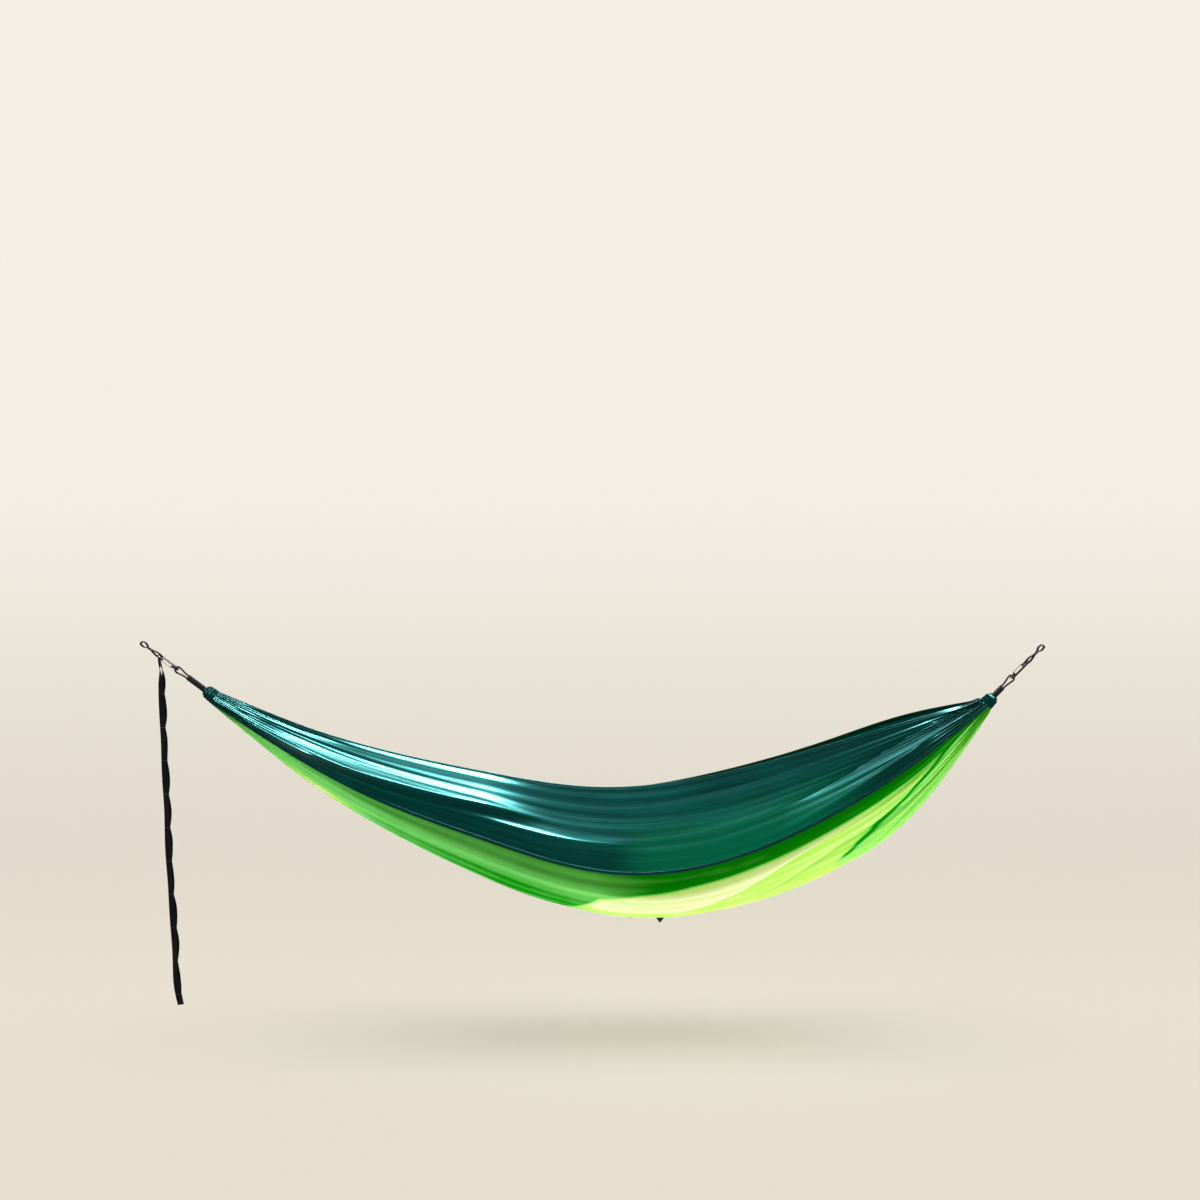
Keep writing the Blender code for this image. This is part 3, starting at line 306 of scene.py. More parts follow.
def spline(knots, values, at):
    """A natural cubic through the knots, read at the given places: each span is the straight mix of
    its two values plus cubic terms in its ends' curvatures, which one linear solve gives."""
    knots = np.asarray(knots, float)
    values = np.asarray(values, float)
    gaps = np.diff(knots)
    count = len(knots)
    system = np.eye(count)
    right = np.zeros((count,) + values.shape[1:])
    slopes = [(values[i + 1] - values[i]) / gaps[i] for i in range(count - 1)]
    for i in range(1, count - 1):
        system[i, i - 1 : i + 2] = gaps[i - 1], 2 * (gaps[i - 1] + gaps[i]), gaps[i]
        right[i] = 6 * (slopes[i] - slopes[i - 1])
    bend = np.linalg.solve(system, right.reshape(count, -1)).reshape(right.shape)
    at = np.asarray(at, float)
    i = np.clip(np.searchsorted(knots, at) - 1, 0, count - 2)
    extra = (1,) * (values.ndim - 1)
    low = ((knots[i + 1] - at) / gaps[i]).reshape(at.shape + extra)
    high = ((at - knots[i]) / gaps[i]).reshape(at.shape + extra)
    gap = gaps[i].reshape(at.shape + extra)
    curve = (low**3 - low) * bend[i] + (high**3 - high) * bend[i + 1]
    return low * values[i] + high * values[i + 1] + curve * gap**2 / 6


def run_along(points):
    """How far along a line through the points each of them is."""
    return np.concatenate([[0], np.cumsum(np.linalg.norm(np.diff(points, axis=0), axis=1))])


def smooth_route(points, count):
    """Evenly spaced points on a smooth curve through the route's own points, and its length."""
    points = np.asarray(points, float)
    along = run_along(points)
    fine = spline(along, points, np.linspace(0, along[-1], 60 * len(points)))
    run = run_along(fine)
    even = np.linspace(0, run[-1], count)
    return np.stack([np.interp(even, run, fine[:, k]) for k in range(3)], axis=1), run[-1]


def ease(share):
    """From 0 to 1 by share^2 (3 - 2 share), and level outside."""
    share = np.clip(share, 0, 1)
    return share * share * (3 - 2 * share)


def rise(value, start, over):
    """An ease from 0 at the start to 1 a width further on, or before it where the width is negative."""
    return ease((value - start) / over)


def hump(value, middle, width):
    """exp(-((value - middle) / width)^2)."""
    return np.exp(-(((value - middle) / width) ** 2))


def unit(vectors):
    """The vectors at length 1."""
    return vectors / np.linalg.norm(vectors, axis=-1, keepdims=True)


def grid_faces(rows, columns, wrap_rows=False, wrap_columns=False):
    """Quads between neighbours of a grid of rows x columns points, joined round where it wraps."""
    i = np.arange(rows if wrap_rows else rows - 1)
    j = np.arange(columns if wrap_columns else columns - 1)
    i, j = np.meshgrid(i, j, indexing="ij")
    below, beside = (i + 1) % rows, (j + 1) % columns
    quads = [i * columns + j, i * columns + beside, below * columns + beside, below * columns + j]
    return np.stack(quads).reshape(4, -1).T


def end_caps(rows, columns):
    """The first and the last ring of a grid as faces, which close a tube."""
    return [range(columns)[::-1], range((rows - 1) * columns, rows * columns)]


def piece(name, points, quads, material, caps=(), uv=None, closed=True, smooth_deg=None):
    """A mesh object of quads and end caps, with its place in its mesh and a UV map in metres."""
    points = np.asarray(points, float).reshape(-1, 3)
    faces = [tuple(face) for face in np.asarray(quads).tolist()] + [tuple(cap) for cap in caps]
    mesh = bpy.data.meshes.new(name)
    mesh.from_pydata(points.tolist(), [], faces)
    if uv is not None:
        corners = np.zeros(len(mesh.loops), np.int32)
        mesh.loops.foreach_get("vertex_index", corners)
        layer = mesh.uv_layers.new(name="cloth")
        layer.data.foreach_set("uv", np.asarray(uv, np.float32).reshape(-1, 2)[corners].ravel())
    if closed:
        work = bmesh.new()
        work.from_mesh(mesh)
        bmesh.ops.recalc_face_normals(work, faces=work.faces)
        work.to_mesh(mesh)
        work.free()
    mesh.shade_smooth()
    if smooth_deg is not None:
        mesh.set_sharp_from_angle(angle=math.radians(smooth_deg))
    mesh.materials.append(material)
    made = bpy.data.objects.new(name, mesh)
    bpy.context.scene.collection.objects.link(made)
    return made


def belongs(made, body, slot, *nodes):
    """Puts a piece on the body that it rides on and hides the solids that it stands for; the slot is not
    used.
    """
    if nodes:
        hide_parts(*nodes)
    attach(made, body)


def sweep(path, across, section, wrap_path=False):
    """A profile carried along a path: each ring is the path's point plus the section's first number
    along the sideways direction and its second along that direction's square with the tangent."""
    path = np.asarray(path, float)
    if wrap_path:
        tangents = unit(np.roll(path, -1, axis=0) - np.roll(path, 1, axis=0))
    else:
        tangents = unit(np.gradient(path, axis=0))
    across = np.broadcast_to(np.asarray(across, float), path.shape)
    across = unit(across - tangents * np.sum(across * tangents, axis=1, keepdims=True))
    proud = np.cross(tangents, across)
    section = np.asarray(section, float)
    if section.ndim == 2:
        section = np.broadcast_to(section, (len(path),) + section.shape)
    return path[:, None] + section[..., :1] * across[:, None] + section[..., 1:] * proud[:, None]


def carried(path):
    """A sideways direction for each point of a path, turned no more than the path bends."""
    tangents = unit(np.gradient(np.asarray(path, float), axis=0))
    side = np.cross(tangents[0], (0.0, 1.0, 0.0))
    sides = []
    for tangent in tangents:
        side = side - tangent * (side @ tangent)
        side = side / np.linalg.norm(side)
        sides.append(side)
    return np.array(sides)


def around(sides):
    """Angles of even places round a circle."""
    return np.arange(sides) * 2 * math.pi / sides


def round_section(radius, sides):
    """A circle's outline."""
    return radius * np.stack([np.cos(around(sides)), np.sin(around(sides))], axis=1)


def flat_section(width, thick, round_to=None):
    """A band's rounded outline, wider than thick, with close points at its two edges."""
    edge = min(thick / 2, width / 2) if round_to is None else round_to
    turn = np.radians(np.linspace(-90, 90, 7))
    right = np.stack([width / 2 - edge + edge * np.cos(turn), thick / 2 * np.sin(turn)], axis=1)
    flat = np.linspace(1, -1, 9)[1:-1, None] * np.array([[width / 2 - edge, 0.0]]) + [[0.0, thick / 2]]
    under = flat[::-1] * [[1, -1]]
    return np.concatenate([right, flat, -right, under])


WEB_SECTION = flat_section(WEB_WIDTH, WEB_THICK, WEB_EDGE)


def tube_piece(name, path, section, material, across=None, wrap_path=False):
    """A profile swept along a path as one closed piece, with a UV map of run along by way round."""
    across = carried(path) if across is None else across
    rings = sweep(path, across, section, wrap_path)
    rows, columns = rings.shape[:2]
    caps = [] if wrap_path else end_caps(rows, columns)
    run = run_along(path)
    way = run_along(section if np.ndim(section) == 2 else section[0])
    uv = np.stack(np.meshgrid(run, way, indexing="ij"), axis=2)
    return piece(name, rings, grid_faces(rows, columns, wrap_path, True), material, caps, uv, smooth_deg=50)


# Frames of the two ends


def end_frame(anchor, pull):
    """Columns of one end's frame: along the pull, level, and square to both, upwards."""
    up = np.array((math.copysign(-pull[2], pull[0]), 0.0, abs(pull[0])))
    return anchor, pull, np.cross(up, pull), up


LEFT = end_frame(LEFT_ANCHOR, LEFT_PULL)
RIGHT = end_frame(RIGHT_ANCHOR, RIGHT_PULL)
ENDS = (("left", LEFT, LEFT_ROPE_REACH), ("right", RIGHT, RIGHT_ROPE_REACH))


def at_end(end, points):
    """Points (x, y, z) of an end's frame, in the scene's."""
    anchor, along, level, up = end
    points = np.asarray(points, float)
    return anchor + points[..., :1] * along + points[..., 1:2] * level + points[..., 2:3] * up


# The bed's surface


def gather_point(end, at, v):
    """Where the cloth's share across meets the gather: round an oval that stays open at its top, at
    the angle of v to the power of the crowding, which draws the seams down."""
    at_left = end is LEFT
    crowding = LEFT_GATHER_CROWDING if at_left else RIGHT_GATHER_CROWDING
    sweep_half = math.pi - math.radians(GATHER_OPEN_DEG) / 2
    angle = 1.5 * math.pi + sweep_half * math.copysign(abs(v) ** crowding, v)
    level = 1.0 if at_left else -1.0
    out = GATHER_HALF_WIDE * math.cos(angle) * level
    return at_end(end, (at + GATHER_INSET, out, GATHER_HALF_HIGH * math.sin(angle)))


def bed_lines():
    """The lines along the cloth that its surface is drawn through, each with its place across, and the
    seams' place."""
    seam_at = CENTRE_WIDTH / (CENTRE_WIDTH + 2 * SIDE_WIDTH)
    ends = [(end, ROPE_BAR_AT + reach + CHANNEL_LENGTH) for _, end, reach in ENDS]
    left, right = (at_end(end, (at, 0.0, 0.0)) for end, at in ends)
    shares = np.array(SHARES)
    drops = (HEM_DROP, SEAM_DROP, KEEL_DROP, FAR_HEM_LOWER)
    hem, seam, keel, lower = (SAG * np.array(drop) for drop in drops)
    hem_out, seam_out = HALF_OPEN * np.array(HEM_OUT), HALF_OPEN * np.array(SEAM_OUT)
    side_drop = (hem + seam) / 2
    side_out = (hem_out + seam_out) / 2 + HALF_OPEN * SIDE_BULGE * np.sin(math.pi * shares)
    belly_drop = seam + BELLY_DROP_SHARE * (keel - seam)
    belly_out = BELLY_OUT_SHARE * seam_out
    half = (
        (1.0, hem, hem_out, lower),
        ((1 + seam_at) / 2, side_drop, side_out, lower / 2),
        (seam_at, seam, seam_out, 0.0),
        (seam_at / 2, belly_drop, belly_out, 0.0),
    )
    lines = [(-v, drop, -out) for v, drop, out, _ in half]
    lines += [(0.0, keel, 0 * keel)]
    lines += [(v, drop + far_lower, out) for v, drop, out, far_lower in half[::-1]]
    rows = []
    for v, drop, out in lines:
        start, end = (gather_point(where, at, v) for where, at in ends)
        middle = left + (right - left) * shares[:, None]
        fade = (start - left)[0] * (1 - shares) ** 3 + (end - right)[0] * shares**3
        row = np.stack([middle[:, 0] + fade, out, middle[:, 2] - drop], axis=1)
        rows.append((v, np.concatenate([[start], row, [end]])))
    return rows, seam_at


LINES, SEAM_AT = bed_lines()
LINE_SHARES = np.concatenate([[0.0], SHARES, [1.0]])


def fold_height(t, v, folds=FOLDS):
    """Folds: height times exp(-(sqrt(d^2 + soft^2) - soft) / width), d from the fold's line."""
    total = np.zeros(np.broadcast(t, v).shape)
    for shares, places, height, near_width, far_width in folds:
        off = v - spline(shares, places, np.clip(t, shares[0], shares[-1]))
        width = np.where(off < 0, near_width, far_width)
        soft = FOLD_ROUNDING * width
        fall = np.exp(-(np.sqrt(off**2 + soft**2) - soft) / width)
        runs = rise(t, shares[0], FOLD_RUN_OUT) * rise(t, shares[-1], -FOLD_RUN_OUT)
        total += height * fall * runs
    return total * ease((1 - np.abs(v)) / HEM_STIFF)


def fine_height(t, v):
    """Creases, pleats that fan out of the gathers, and long thin wrinkles: sums of sines whose phases
    drift."""
    chance = np.random.default_rng(WRINKLE_SEED)
    total = fold_height(t, v, CREASES)
    ends = (
        (t, 1.0, LEFT_PLEAT_REACH, LEFT_PLEAT_HEIGHT),
        (1 - t, -1.0, RIGHT_PLEAT_REACH, RIGHT_PLEAT_HEIGHT),
    )
    for from_end, turn, pleat_reach, pleat_height in ends:
        drift = 0.9 * np.sin(5.1 * v + turn) + 0.5 * np.sin(13.3 * v + 2 * turn)
        wave = np.sin(math.pi * PLEATS_ACROSS * v + 3 * drift)
        uneven = 0.65 + 0.35 * np.sin(23.7 * v + 4 * turn)
        reach = pleat_reach * (0.75 + 0.5 * np.sin(9.7 * v + turn) ** 2)
        fade = np.exp(-((from_end / reach) ** 1.3)) * ease(from_end / 0.006 + 0.35)
        total += pleat_height * wave * uneven * fade
    for _ in range(WRINKLES):
        across = chance.uniform(9, 44)
        drift = chance.uniform(-7, 7)
        phase, where = chance.uniform(0, 2 * math.pi), chance.uniform(0.0, 1.0)
        width = chance.uniform(0.12, 0.40)
        side = chance.uniform(-1.0, 1.0)
        patch = hump(t, where, width) * hump(v, side, WRINKLE_SPREAD)
        total += WRINKLE_HEIGHT * (20 / across) ** 0.7 * patch * np.sin(across * v * 3 + drift * t + phase)
    return total * (0.35 + 0.65 * ease((1 - np.abs(v)) / (1.6 * HEM_STIFF)))


def relief(t, v):
    """How far the cloth stands off its smooth surface: main folds plus fine ones."""
    return fold_height(t[None, :], v[:, None]) + fine_height(t[None, :], v[:, None])


def bed_surface(t, v):
    """Points and outward normals of the cloth: cubic lines along, joined by cubics across, then moved
    along the normal by the folds."""
    lines = np.stack([spline(LINE_SHARES, points, t) for _, points in LINES])
    surface = spline(np.array([at for at, _ in LINES]), lines, v)

    def normals(points):
        return unit(np.cross(np.gradient(points, v, axis=0), np.gradient(points, t, axis=1)))

    moved = surface + normals(surface) * relief(t, v)[:, :, None]
    return moved, normals(moved)


def along_shares():
    """Shares along, closer together near the two gathers."""
    even = np.linspace(0, 1, ALONG_CELLS + 1)
    return 0.5 * even + 0.5 * (0.5 - 0.5 * np.cos(math.pi * even))


def painted_fold_shade(t, v):
    """Painted shade in the cloth's colour: towards 1, paler, where the cloth stands up and towards -1,
    darker, where it lies in a fold, from its bend across squashed by a tanh; painted darker towards the right
    gather, less on the centre panel."""
    across = v * HALF_CLOTH
    bend = np.gradient(np.gradient(relief(t, v), across, axis=0), across, axis=0)
    gather_shade = RIGHT_PAINTED_SHADE * rise(t[None, :], RIGHT_PAINTED_SHADE_FROM, 1 - RIGHT_PAINTED_SHADE_FROM)
    gather_shade = gather_shade * np.where(np.abs(v) > SEAM_AT, 1.0, CENTRE_PAINTED_SHADE_SHARE)[:, None]
    return np.clip(-np.tanh(bend / CREST_BEND) - gather_shade, -1.5, 1.0)


def painted_light(t, v):
    """Painted light and shade for the cloth's glow colour, from 0 to 1. The centre panel is painted in shade
    under its seams, with a painted pool of sunlight past an edge in the belly, painted darker past each
    crease, and a painted pale rim of light along its left lower side; a side panel is painted brighter over
    the belly."""
    share, place = t[None, :], -np.abs(v)[:, None]
    from_seam = (place + SEAM_AT) * HALF_CLOTH
    # A side panel: painted light over the belly.
    if from_seam.mean() < 0:
        return rise(share, 0.50, 0.07) * rise(share, 0.90, -0.16) * rise(place, -0.94, 0.34)
    # Painted shade: a middle level on the left part that falls away to the right, lower under the seam, and
    # darker towards the keel.
    low = HALF_PAINTED_LIGHT * (1 - rise(share, 0.46, 0.15)) * (0.25 + 0.75 * rise(from_seam, 0, 0.016))
    low = low * (1 - 0.80 * rise(share, 0.14, 0.20) * rise(place, -0.36, 0.06))
    # The painted pool of sunlight, and painted shade near the right gather and past each crease.
    painted_sun = rise(from_seam, np.interp(share, *PAINTED_SUN_EDGE), 0.012) * rise(share, PAINTED_SUN_FROM, 0.07)
    painted_shade = 0.20 * rise(share, 0.95, 0.05)
    for (shares, places), starts, past, in_crease, crease_width in (
        (FIRST_CREASE, 1.0, 0.24, 0.25, 0.008),
        (SECOND_CREASE, rise(share, SECOND_CREASE_FROM, 0.03), 0.22, 0.85, 0.018),
    ):
        off = place - spline(shares, places, np.clip(share, shares[0], shares[-1]))
        painted_shade = painted_shade + starts * (past * rise(off, 0, 0.02) + in_crease * hump(off, 0, crease_width))
    # A painted pale rim of light along the left lower side.
    rim = 0.8 * hump(place, -0.27, 0.03) * hump(share, 0.145, 0.04)
    return np.clip(low + (1 - low) * painted_sun * (1 - painted_shade) + rim, 0.0, 1.0)


def bed_panel(name, v_from, v_to, cells, material):
    """One panel as a single layer of cloth between two shares across."""
    t = along_shares()
    v = np.linspace(v_from, v_to, cells + 1)
    surface, _ = bed_surface(t, v)
    run = run_along(surface[cells // 2])
    uv = np.stack(np.meshgrid(run, v * HALF_CLOTH), axis=2)
    made = piece(name, surface, grid_faces(cells + 1, len(t)), material, uv=uv, closed=False)
    lies_wide = np.linalg.norm(np.gradient(surface, v * HALF_CLOTH, axis=0), axis=2)
    # Painted shade of folds, and painted light and shade for the glow colour, which the materials read.
    cloth_value(made, "painted_fold_shade", painted_fold_shade(t, v))
    cloth_value(made, "painted_light", painted_light(t, v))
    cloth_value(made, "drawn", 1 - np.clip(lies_wide, 0.0, 1.0))
    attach(made, "bed")
    return made


def cloth_value(made, label, values):
    """A value at each point of a piece's mesh, which its material reads."""
    layer = made.data.attributes.new(label, "FLOAT", "POINT")
    values = np.broadcast_to(values, np.shape(values) or len(layer.data))
    layer.data.foreach_set("value", values.astype(np.float32).ravel())


def edge_line(v):
    """A line along the cloth at one share across, its outward normals and its crosswise directions."""
    near = [at for at in (v - EDGE_STEP, v, v + EDGE_STEP) if abs(at) <= 1]
    surface, normals = bed_surface(along_shares(), np.array(near))
    at = near.index(v)
    return surface[at], normals[at], unit(surface[-1] - surface[0])


def stitches(name, path, lift, across):
    """A run of stitches: at each pitch, a lens-shaped thread that dips into the cloth at both ends."""
    run = run_along(path)
    starts = np.arange(STITCH_PITCH, run[-1] - STITCH_PITCH, STITCH_PITCH)
    shares = np.linspace(0, 1, STITCH_RINGS)
    at = starts[:, None] + shares[None, :] * STITCH_LENGTH
    centre, up, side = (
        np.stack([np.interp(at, run, data[:, k]) for k in range(3)], axis=2) for data in (path, lift, across)
    )
    up, side = unit(up), unit(side)
    centre = centre + up * THREAD * (np.sin(math.pi * shares) - STITCH_DIP)[None, :, None]
    ring_at = round_section(1.0, STITCH_SIDES)
    ring = ring_at[:, :1] * side[:, :, None] + ring_at[:, 1:] * up[:, :, None]
    points = centre[:, :, None] + ring * THREAD / 2
    each = STITCH_RINGS * STITCH_SIDES
    offsets = (np.arange(len(starts)) * each)[:, None, None]
    quads = (grid_faces(STITCH_RINGS, STITCH_SIDES, False, True)[None] + offsets).reshape(-1, 4)
    ends = (np.arange(STITCH_SIDES)[::-1], np.arange(each - STITCH_SIDES, each))
    caps = np.concatenate([end[None] + offsets[:, 0] for end in ends])
    made = piece(name, points, quads, TEAL_THREAD, caps.tolist(), closed=False)
    belongs(made, "bed", "teal_nylon")
    return made


# Shader nodes and groups


def feed(tree, value, socket):
    """Feeds a socket with another node's output or with a value; a colour comes without its alpha."""
    if isinstance(value, bpy.types.NodeSocket):
        tree.links.new(value, socket)
    else:
        socket.default_value = (*value, 1.0) if socket.type == "RGBA" else value


def feed_all(tree, node, inputs):
    """Feeds each of a node's inputs that is named or numbered."""
    for label, value in inputs.items():
        feed(tree, value, node.inputs[label])
    return node


def add_node(tree, kind, inputs, **settings):
    """A shader node with its settings, and what feeds each input that is named or numbered."""
    node = tree.nodes.new(f"ShaderNode{kind}")
    for label, value in settings.items():
        setattr(node, label, value)
    return feed_all(tree, node, inputs)


def maths(tree, operation, *terms):
    return add_node(tree, "Math", dict(enumerate(terms)), operation=operation).outputs[0]


def times(tree, first, second):
    return maths(tree, "MULTIPLY", first, second)


def plus_share(tree, total, value, share):
    """The total and a share of the value."""
    return maths(tree, "MULTIPLY_ADD", value, share, total)


def group(name, inputs, output):
    """An empty shader node group: its inputs, of which UV is a vector and the others are numbers, and
    the one number that it puts out."""
    made = bpy.data.node_groups.new(name, "ShaderNodeTree")
    for label, default in inputs.items():
        kind = "NodeSocketVector" if default is None else "NodeSocketFloat"
        socket = made.interface.new_socket(label, in_out="INPUT", socket_type=kind)
        if default is not None:
            socket.default_value = default
    made.interface.new_socket(output, in_out="OUTPUT", socket_type="NodeSocketFloat")
    return made, made.nodes.new("NodeGroupInput").outputs, made.nodes.new("NodeGroupOutput").inputs[output]


def weave_group():
    """Plain weave on a UV map in metres: warp and weft bands, each over where the other is under."""
    tree, inside, outside = group("plain_weave", {"UV": None, "Threads per metre": 2000.0}, "Height")
    split = add_node(tree, "SeparateXYZ", {0: inside["UV"]})
    turns = times(tree, inside["Threads per metre"], math.pi)
    warp, weft = (maths(tree, "SINE", times(tree, split.outputs[k], turns)) for k in (0, 1))
    crossing = times(tree, warp, weft)
    ribs = maths(tree, "ADD", maths(tree, "ABSOLUTE", warp), maths(tree, "ABSOLUTE", weft))
    feed(tree, plus_share(tree, times(tree, ribs, 0.25), crossing, 0.5), outside)
    return tree


def streak_group():
    """Yarn streaks that run along a UV map's first direction: noise, drawn out lengthwise."""
    tree, inside, outside = group("yarn_streaks", {"UV": None, "Along": 3.0, "Across": 260.0}, "Value")
    split = add_node(tree, "SeparateXYZ", {0: inside["UV"]})
    ways = ((0, "Along"), (1, "Across"))
    drawn_out = {k: times(tree, split.outputs[k], inside[way]) for k, way in ways}
    join = add_node(tree, "CombineXYZ", drawn_out)
    noise = add_node(tree, "TexNoise", {"Vector": join.outputs[0], "Scale": 1.0, "Detail": 4.0})
    feed(tree, noise.outputs["Fac"], outside)
    return tree


def patch_group():
    """Soft patches on object coordinates, for handled and dusty places."""
    tree, inside, outside = group("soft_patches", {"Scale": 40.0, "Low": 0.4, "High": 0.65}, "Mask")
    place = add_node(tree, "TexCoord", {}).outputs["Object"]
    noise = add_node(tree, "TexNoise", {"Vector": place, "Scale": inside["Scale"], "Detail": 5.0})
    ends = {"Value": noise.outputs["Fac"], "From Min": inside["Low"], "From Max": inside["High"]}
    mask = add_node(tree, "MapRange", ends, interpolation_type="SMOOTHSTEP")
    feed(tree, mask.outputs["Result"], outside)
    return tree


WEAVE = weave_group()
STREAKS = streak_group()
PATCHES = patch_group()


def placed(tree, which, **values):
    """What one use of a shader group puts out, with its own values."""
    inputs = {label.replace("_", " "): value for label, value in values.items()}
    return add_node(tree, "Group", inputs, node_tree=which).outputs[0]


def patches(tree, scale, low, high):
    return placed(tree, PATCHES, Scale=scale, Low=low, High=high)


def new_material(name):
    made = bpy.data.materials.new(name)
    made.use_nodes = True
    return made, made.node_tree, made.node_tree.nodes["Principled BSDF"]


def mix_colour(tree, share, first, second):
    inputs = {"Factor": share, "A": first, "B": second}
    return add_node(tree, "Mix", inputs, data_type="RGBA").outputs["Result"]


def mix_shaders(tree, share, first, second):
    return add_node(tree, "MixShader", {"Fac": share, 1: first.outputs[0], 2: second.outputs[0]})


def spread(tree, value, low, high, to_low, to_high):
    inputs = {"Value": value, "From Min": low, "From Max": high, "To Min": to_low, "To Max": to_high}
    return add_node(tree, "MapRange", inputs).outputs["Result"]


def bump(tree, shader, height, strength, distance):
    inputs = {"Strength": strength, "Distance": distance, "Height": height}
    feed(tree, add_node(tree, "Bump", inputs).outputs["Normal"], shader.inputs["Normal"])


def cloth_uv(tree):
    return add_node(tree, "UVMap", {}, uv_map="cloth").outputs["UV"]


def surface_value(tree, label):
    return add_node(tree, "Attribute", {}, attribute_name=label).outputs["Fac"]


def show(tree, shader, output="Material Output"):
    feed(tree, shader.outputs[0], tree.nodes[output].inputs["Surface"])


# Finishes


def nylon(name, deep, bright, tint, through, let_through, specular, roughness, coat):
    """Thin plain-woven nylon: satin on its face, with lengthwise yarn streaks and crushed crinkles, painted
    shade in its folds and painted light on its crests, and lit from behind in a glow colour that follows
    painted light and shade. Bumps fade where the cloth is drawn up narrow."""
    made, tree, shader = new_material(name)
    uv = cloth_uv(tree)
    streaks = placed(tree, STREAKS, UV=uv, Along=2.5, Across=210.0)
    broad = placed(tree, STREAKS, UV=uv, Along=1.2, Across=26.0)
    crinkles = placed(tree, STREAKS, UV=uv, Along=20.0, Across=64.0)
    weave = placed(tree, WEAVE, UV=uv, Threads_per_metre=NYLON_THREADS)
    # Painted shade: darker in folds and paler on crests, mixed into the base colour.
    fold_shade = surface_value(tree, "painted_fold_shade")
    mixed = streaks
    for value, share in ((broad, 0.8), (patches(tree, 7.0, 0.35, 0.7), 0.25), (fold_shade, 0.34)):
        mixed = plus_share(tree, mixed, value, share)
    look = {
        "Base Color": mix_colour(tree, spread(tree, mixed, 0.72, 1.42, 0.0, 1.0), deep, bright),
        "Roughness": spread(tree, streaks, 0.3, 0.7, roughness - 0.05, roughness + 0.07),
        "Specular IOR Level": specular,
        "Specular Tint": tint,
        "Coat Weight": coat,
        "Coat Roughness": NYLON_COAT_ROUGHNESS,
    }
    feed_all(tree, shader, look)
    height = plus_share(tree, times(tree, streaks, 0.10), weave, 0.03)
    height = plus_share(tree, height, crinkles, 0.55)
    lies_wide = maths(tree, "SUBTRACT", 1.0, surface_value(tree, "drawn"))
    height = times(tree, height, maths(tree, "POWER", lies_wide, 2.0))
    bump(tree, shader, height, 0.45, NYLON_BUMP)
    # The glow colour follows the painted light and shade, some painted fold shade, and the yarn's tone.
    flat = plus_share(tree, surface_value(tree, "painted_light"), fold_shade, 0.12)
    flat = maths(tree, "ADD", flat, spread(tree, mixed, 0.7, 1.5, -0.09, 0.09))
    ramp = add_node(tree, "ValToRGB", {"Fac": flat})
    stops = ramp.color_ramp.elements
    stops.new(HALF_PAINTED_LIGHT)
    stops.new(MOST_PAINTED_LIGHT)
    for stop, place, paint in zip(stops, (0.0, HALF_PAINTED_LIGHT, MOST_PAINTED_LIGHT, 1.0), through):
        stop.position = place
        stop.color = (*paint, 1.0)
    glow = add_node(tree, "BsdfTranslucent", {"Color": ramp.outputs["Color"]})
    show(tree, mix_shaders(tree, let_through, shader, glow))
    return made


def fibre(parts, dark, light, lift, grain, roughness, specular, strength, depth):
    """The finish that webbing and cord share: a colour lifted from dark to light, over their grain."""
    made, tree, shader = parts
    paint = mix_colour(tree, lift, dark, light)
    feed_all(tree, shader, {"Base Color": paint, "Roughness": roughness, "Specular IOR Level": specular})
    bump(tree, shader, grain, strength, depth)
    return made


def woven(name, dark, light, threads, roughness, depth):
    """Heavy woven webbing or tape: ribs of its weave, with paler, dustier high places."""
    parts = new_material(name)
    tree = parts[1]
    weave = placed(tree, WEAVE, UV=cloth_uv(tree), Threads_per_metre=threads)
    lift = plus_share(tree, times(tree, weave, 0.5), patches(tree, 55.0, 0.35, 0.75), 0.35)
    return fibre(parts, dark, light, lift, weave, roughness, 0.08, 0.7, depth)


def braid(name, dark, light, roughness):
    """Braided cord, whose strands are in the mesh: fine fibre noise and a dusty lift."""
    parts = new_material(name)
    tree = parts[1]
    fibres = placed(tree, STREAKS, UV=cloth_uv(tree), Along=900.0, Across=2600.0)
    lift = times(tree, fibres, maths(tree, "ADD", patches(tree, 80.0, 0.4, 0.75), 0.4))
    return fibre(parts, dark, light, lift, fibres, roughness, 0.2, 0.5, 0.0002)


def worn_metal(name, coat, bare, roughness, metallic, wear):
    """Metal with a coloured surface that has rubbed pale in soft patches."""
    made, tree, shader = new_material(name)
    mask = times(tree, patches(tree, 150.0, 0.52, 0.78), wear)
    fine = patches(tree, 900.0, 0.3, 0.8)
    look = {
        "Base Color": mix_colour(tree, mask, coat, bare),
        "Metallic": metallic,
        "Roughness": spread(tree, fine, 0.0, 1.0, roughness - 0.06, roughness + 0.1),
    }
    feed_all(tree, shader, look)
    return made


def moulded(name, colour, roughness):
    """Moulded plastic or spun thread with a fine grain, paler on its high places."""
    made, tree, shader = new_material(name)
    grain = patches(tree, 2600.0, 0.3, 0.8)
    paint = mix_colour(tree, grain, colour, tuple(GRAIN_PALER * part for part in colour))
    feed_all(tree, shader, {"Base Color": paint, "Roughness": roughness})
    bump(tree, shader, grain, 0.25, 0.0001)
    return made


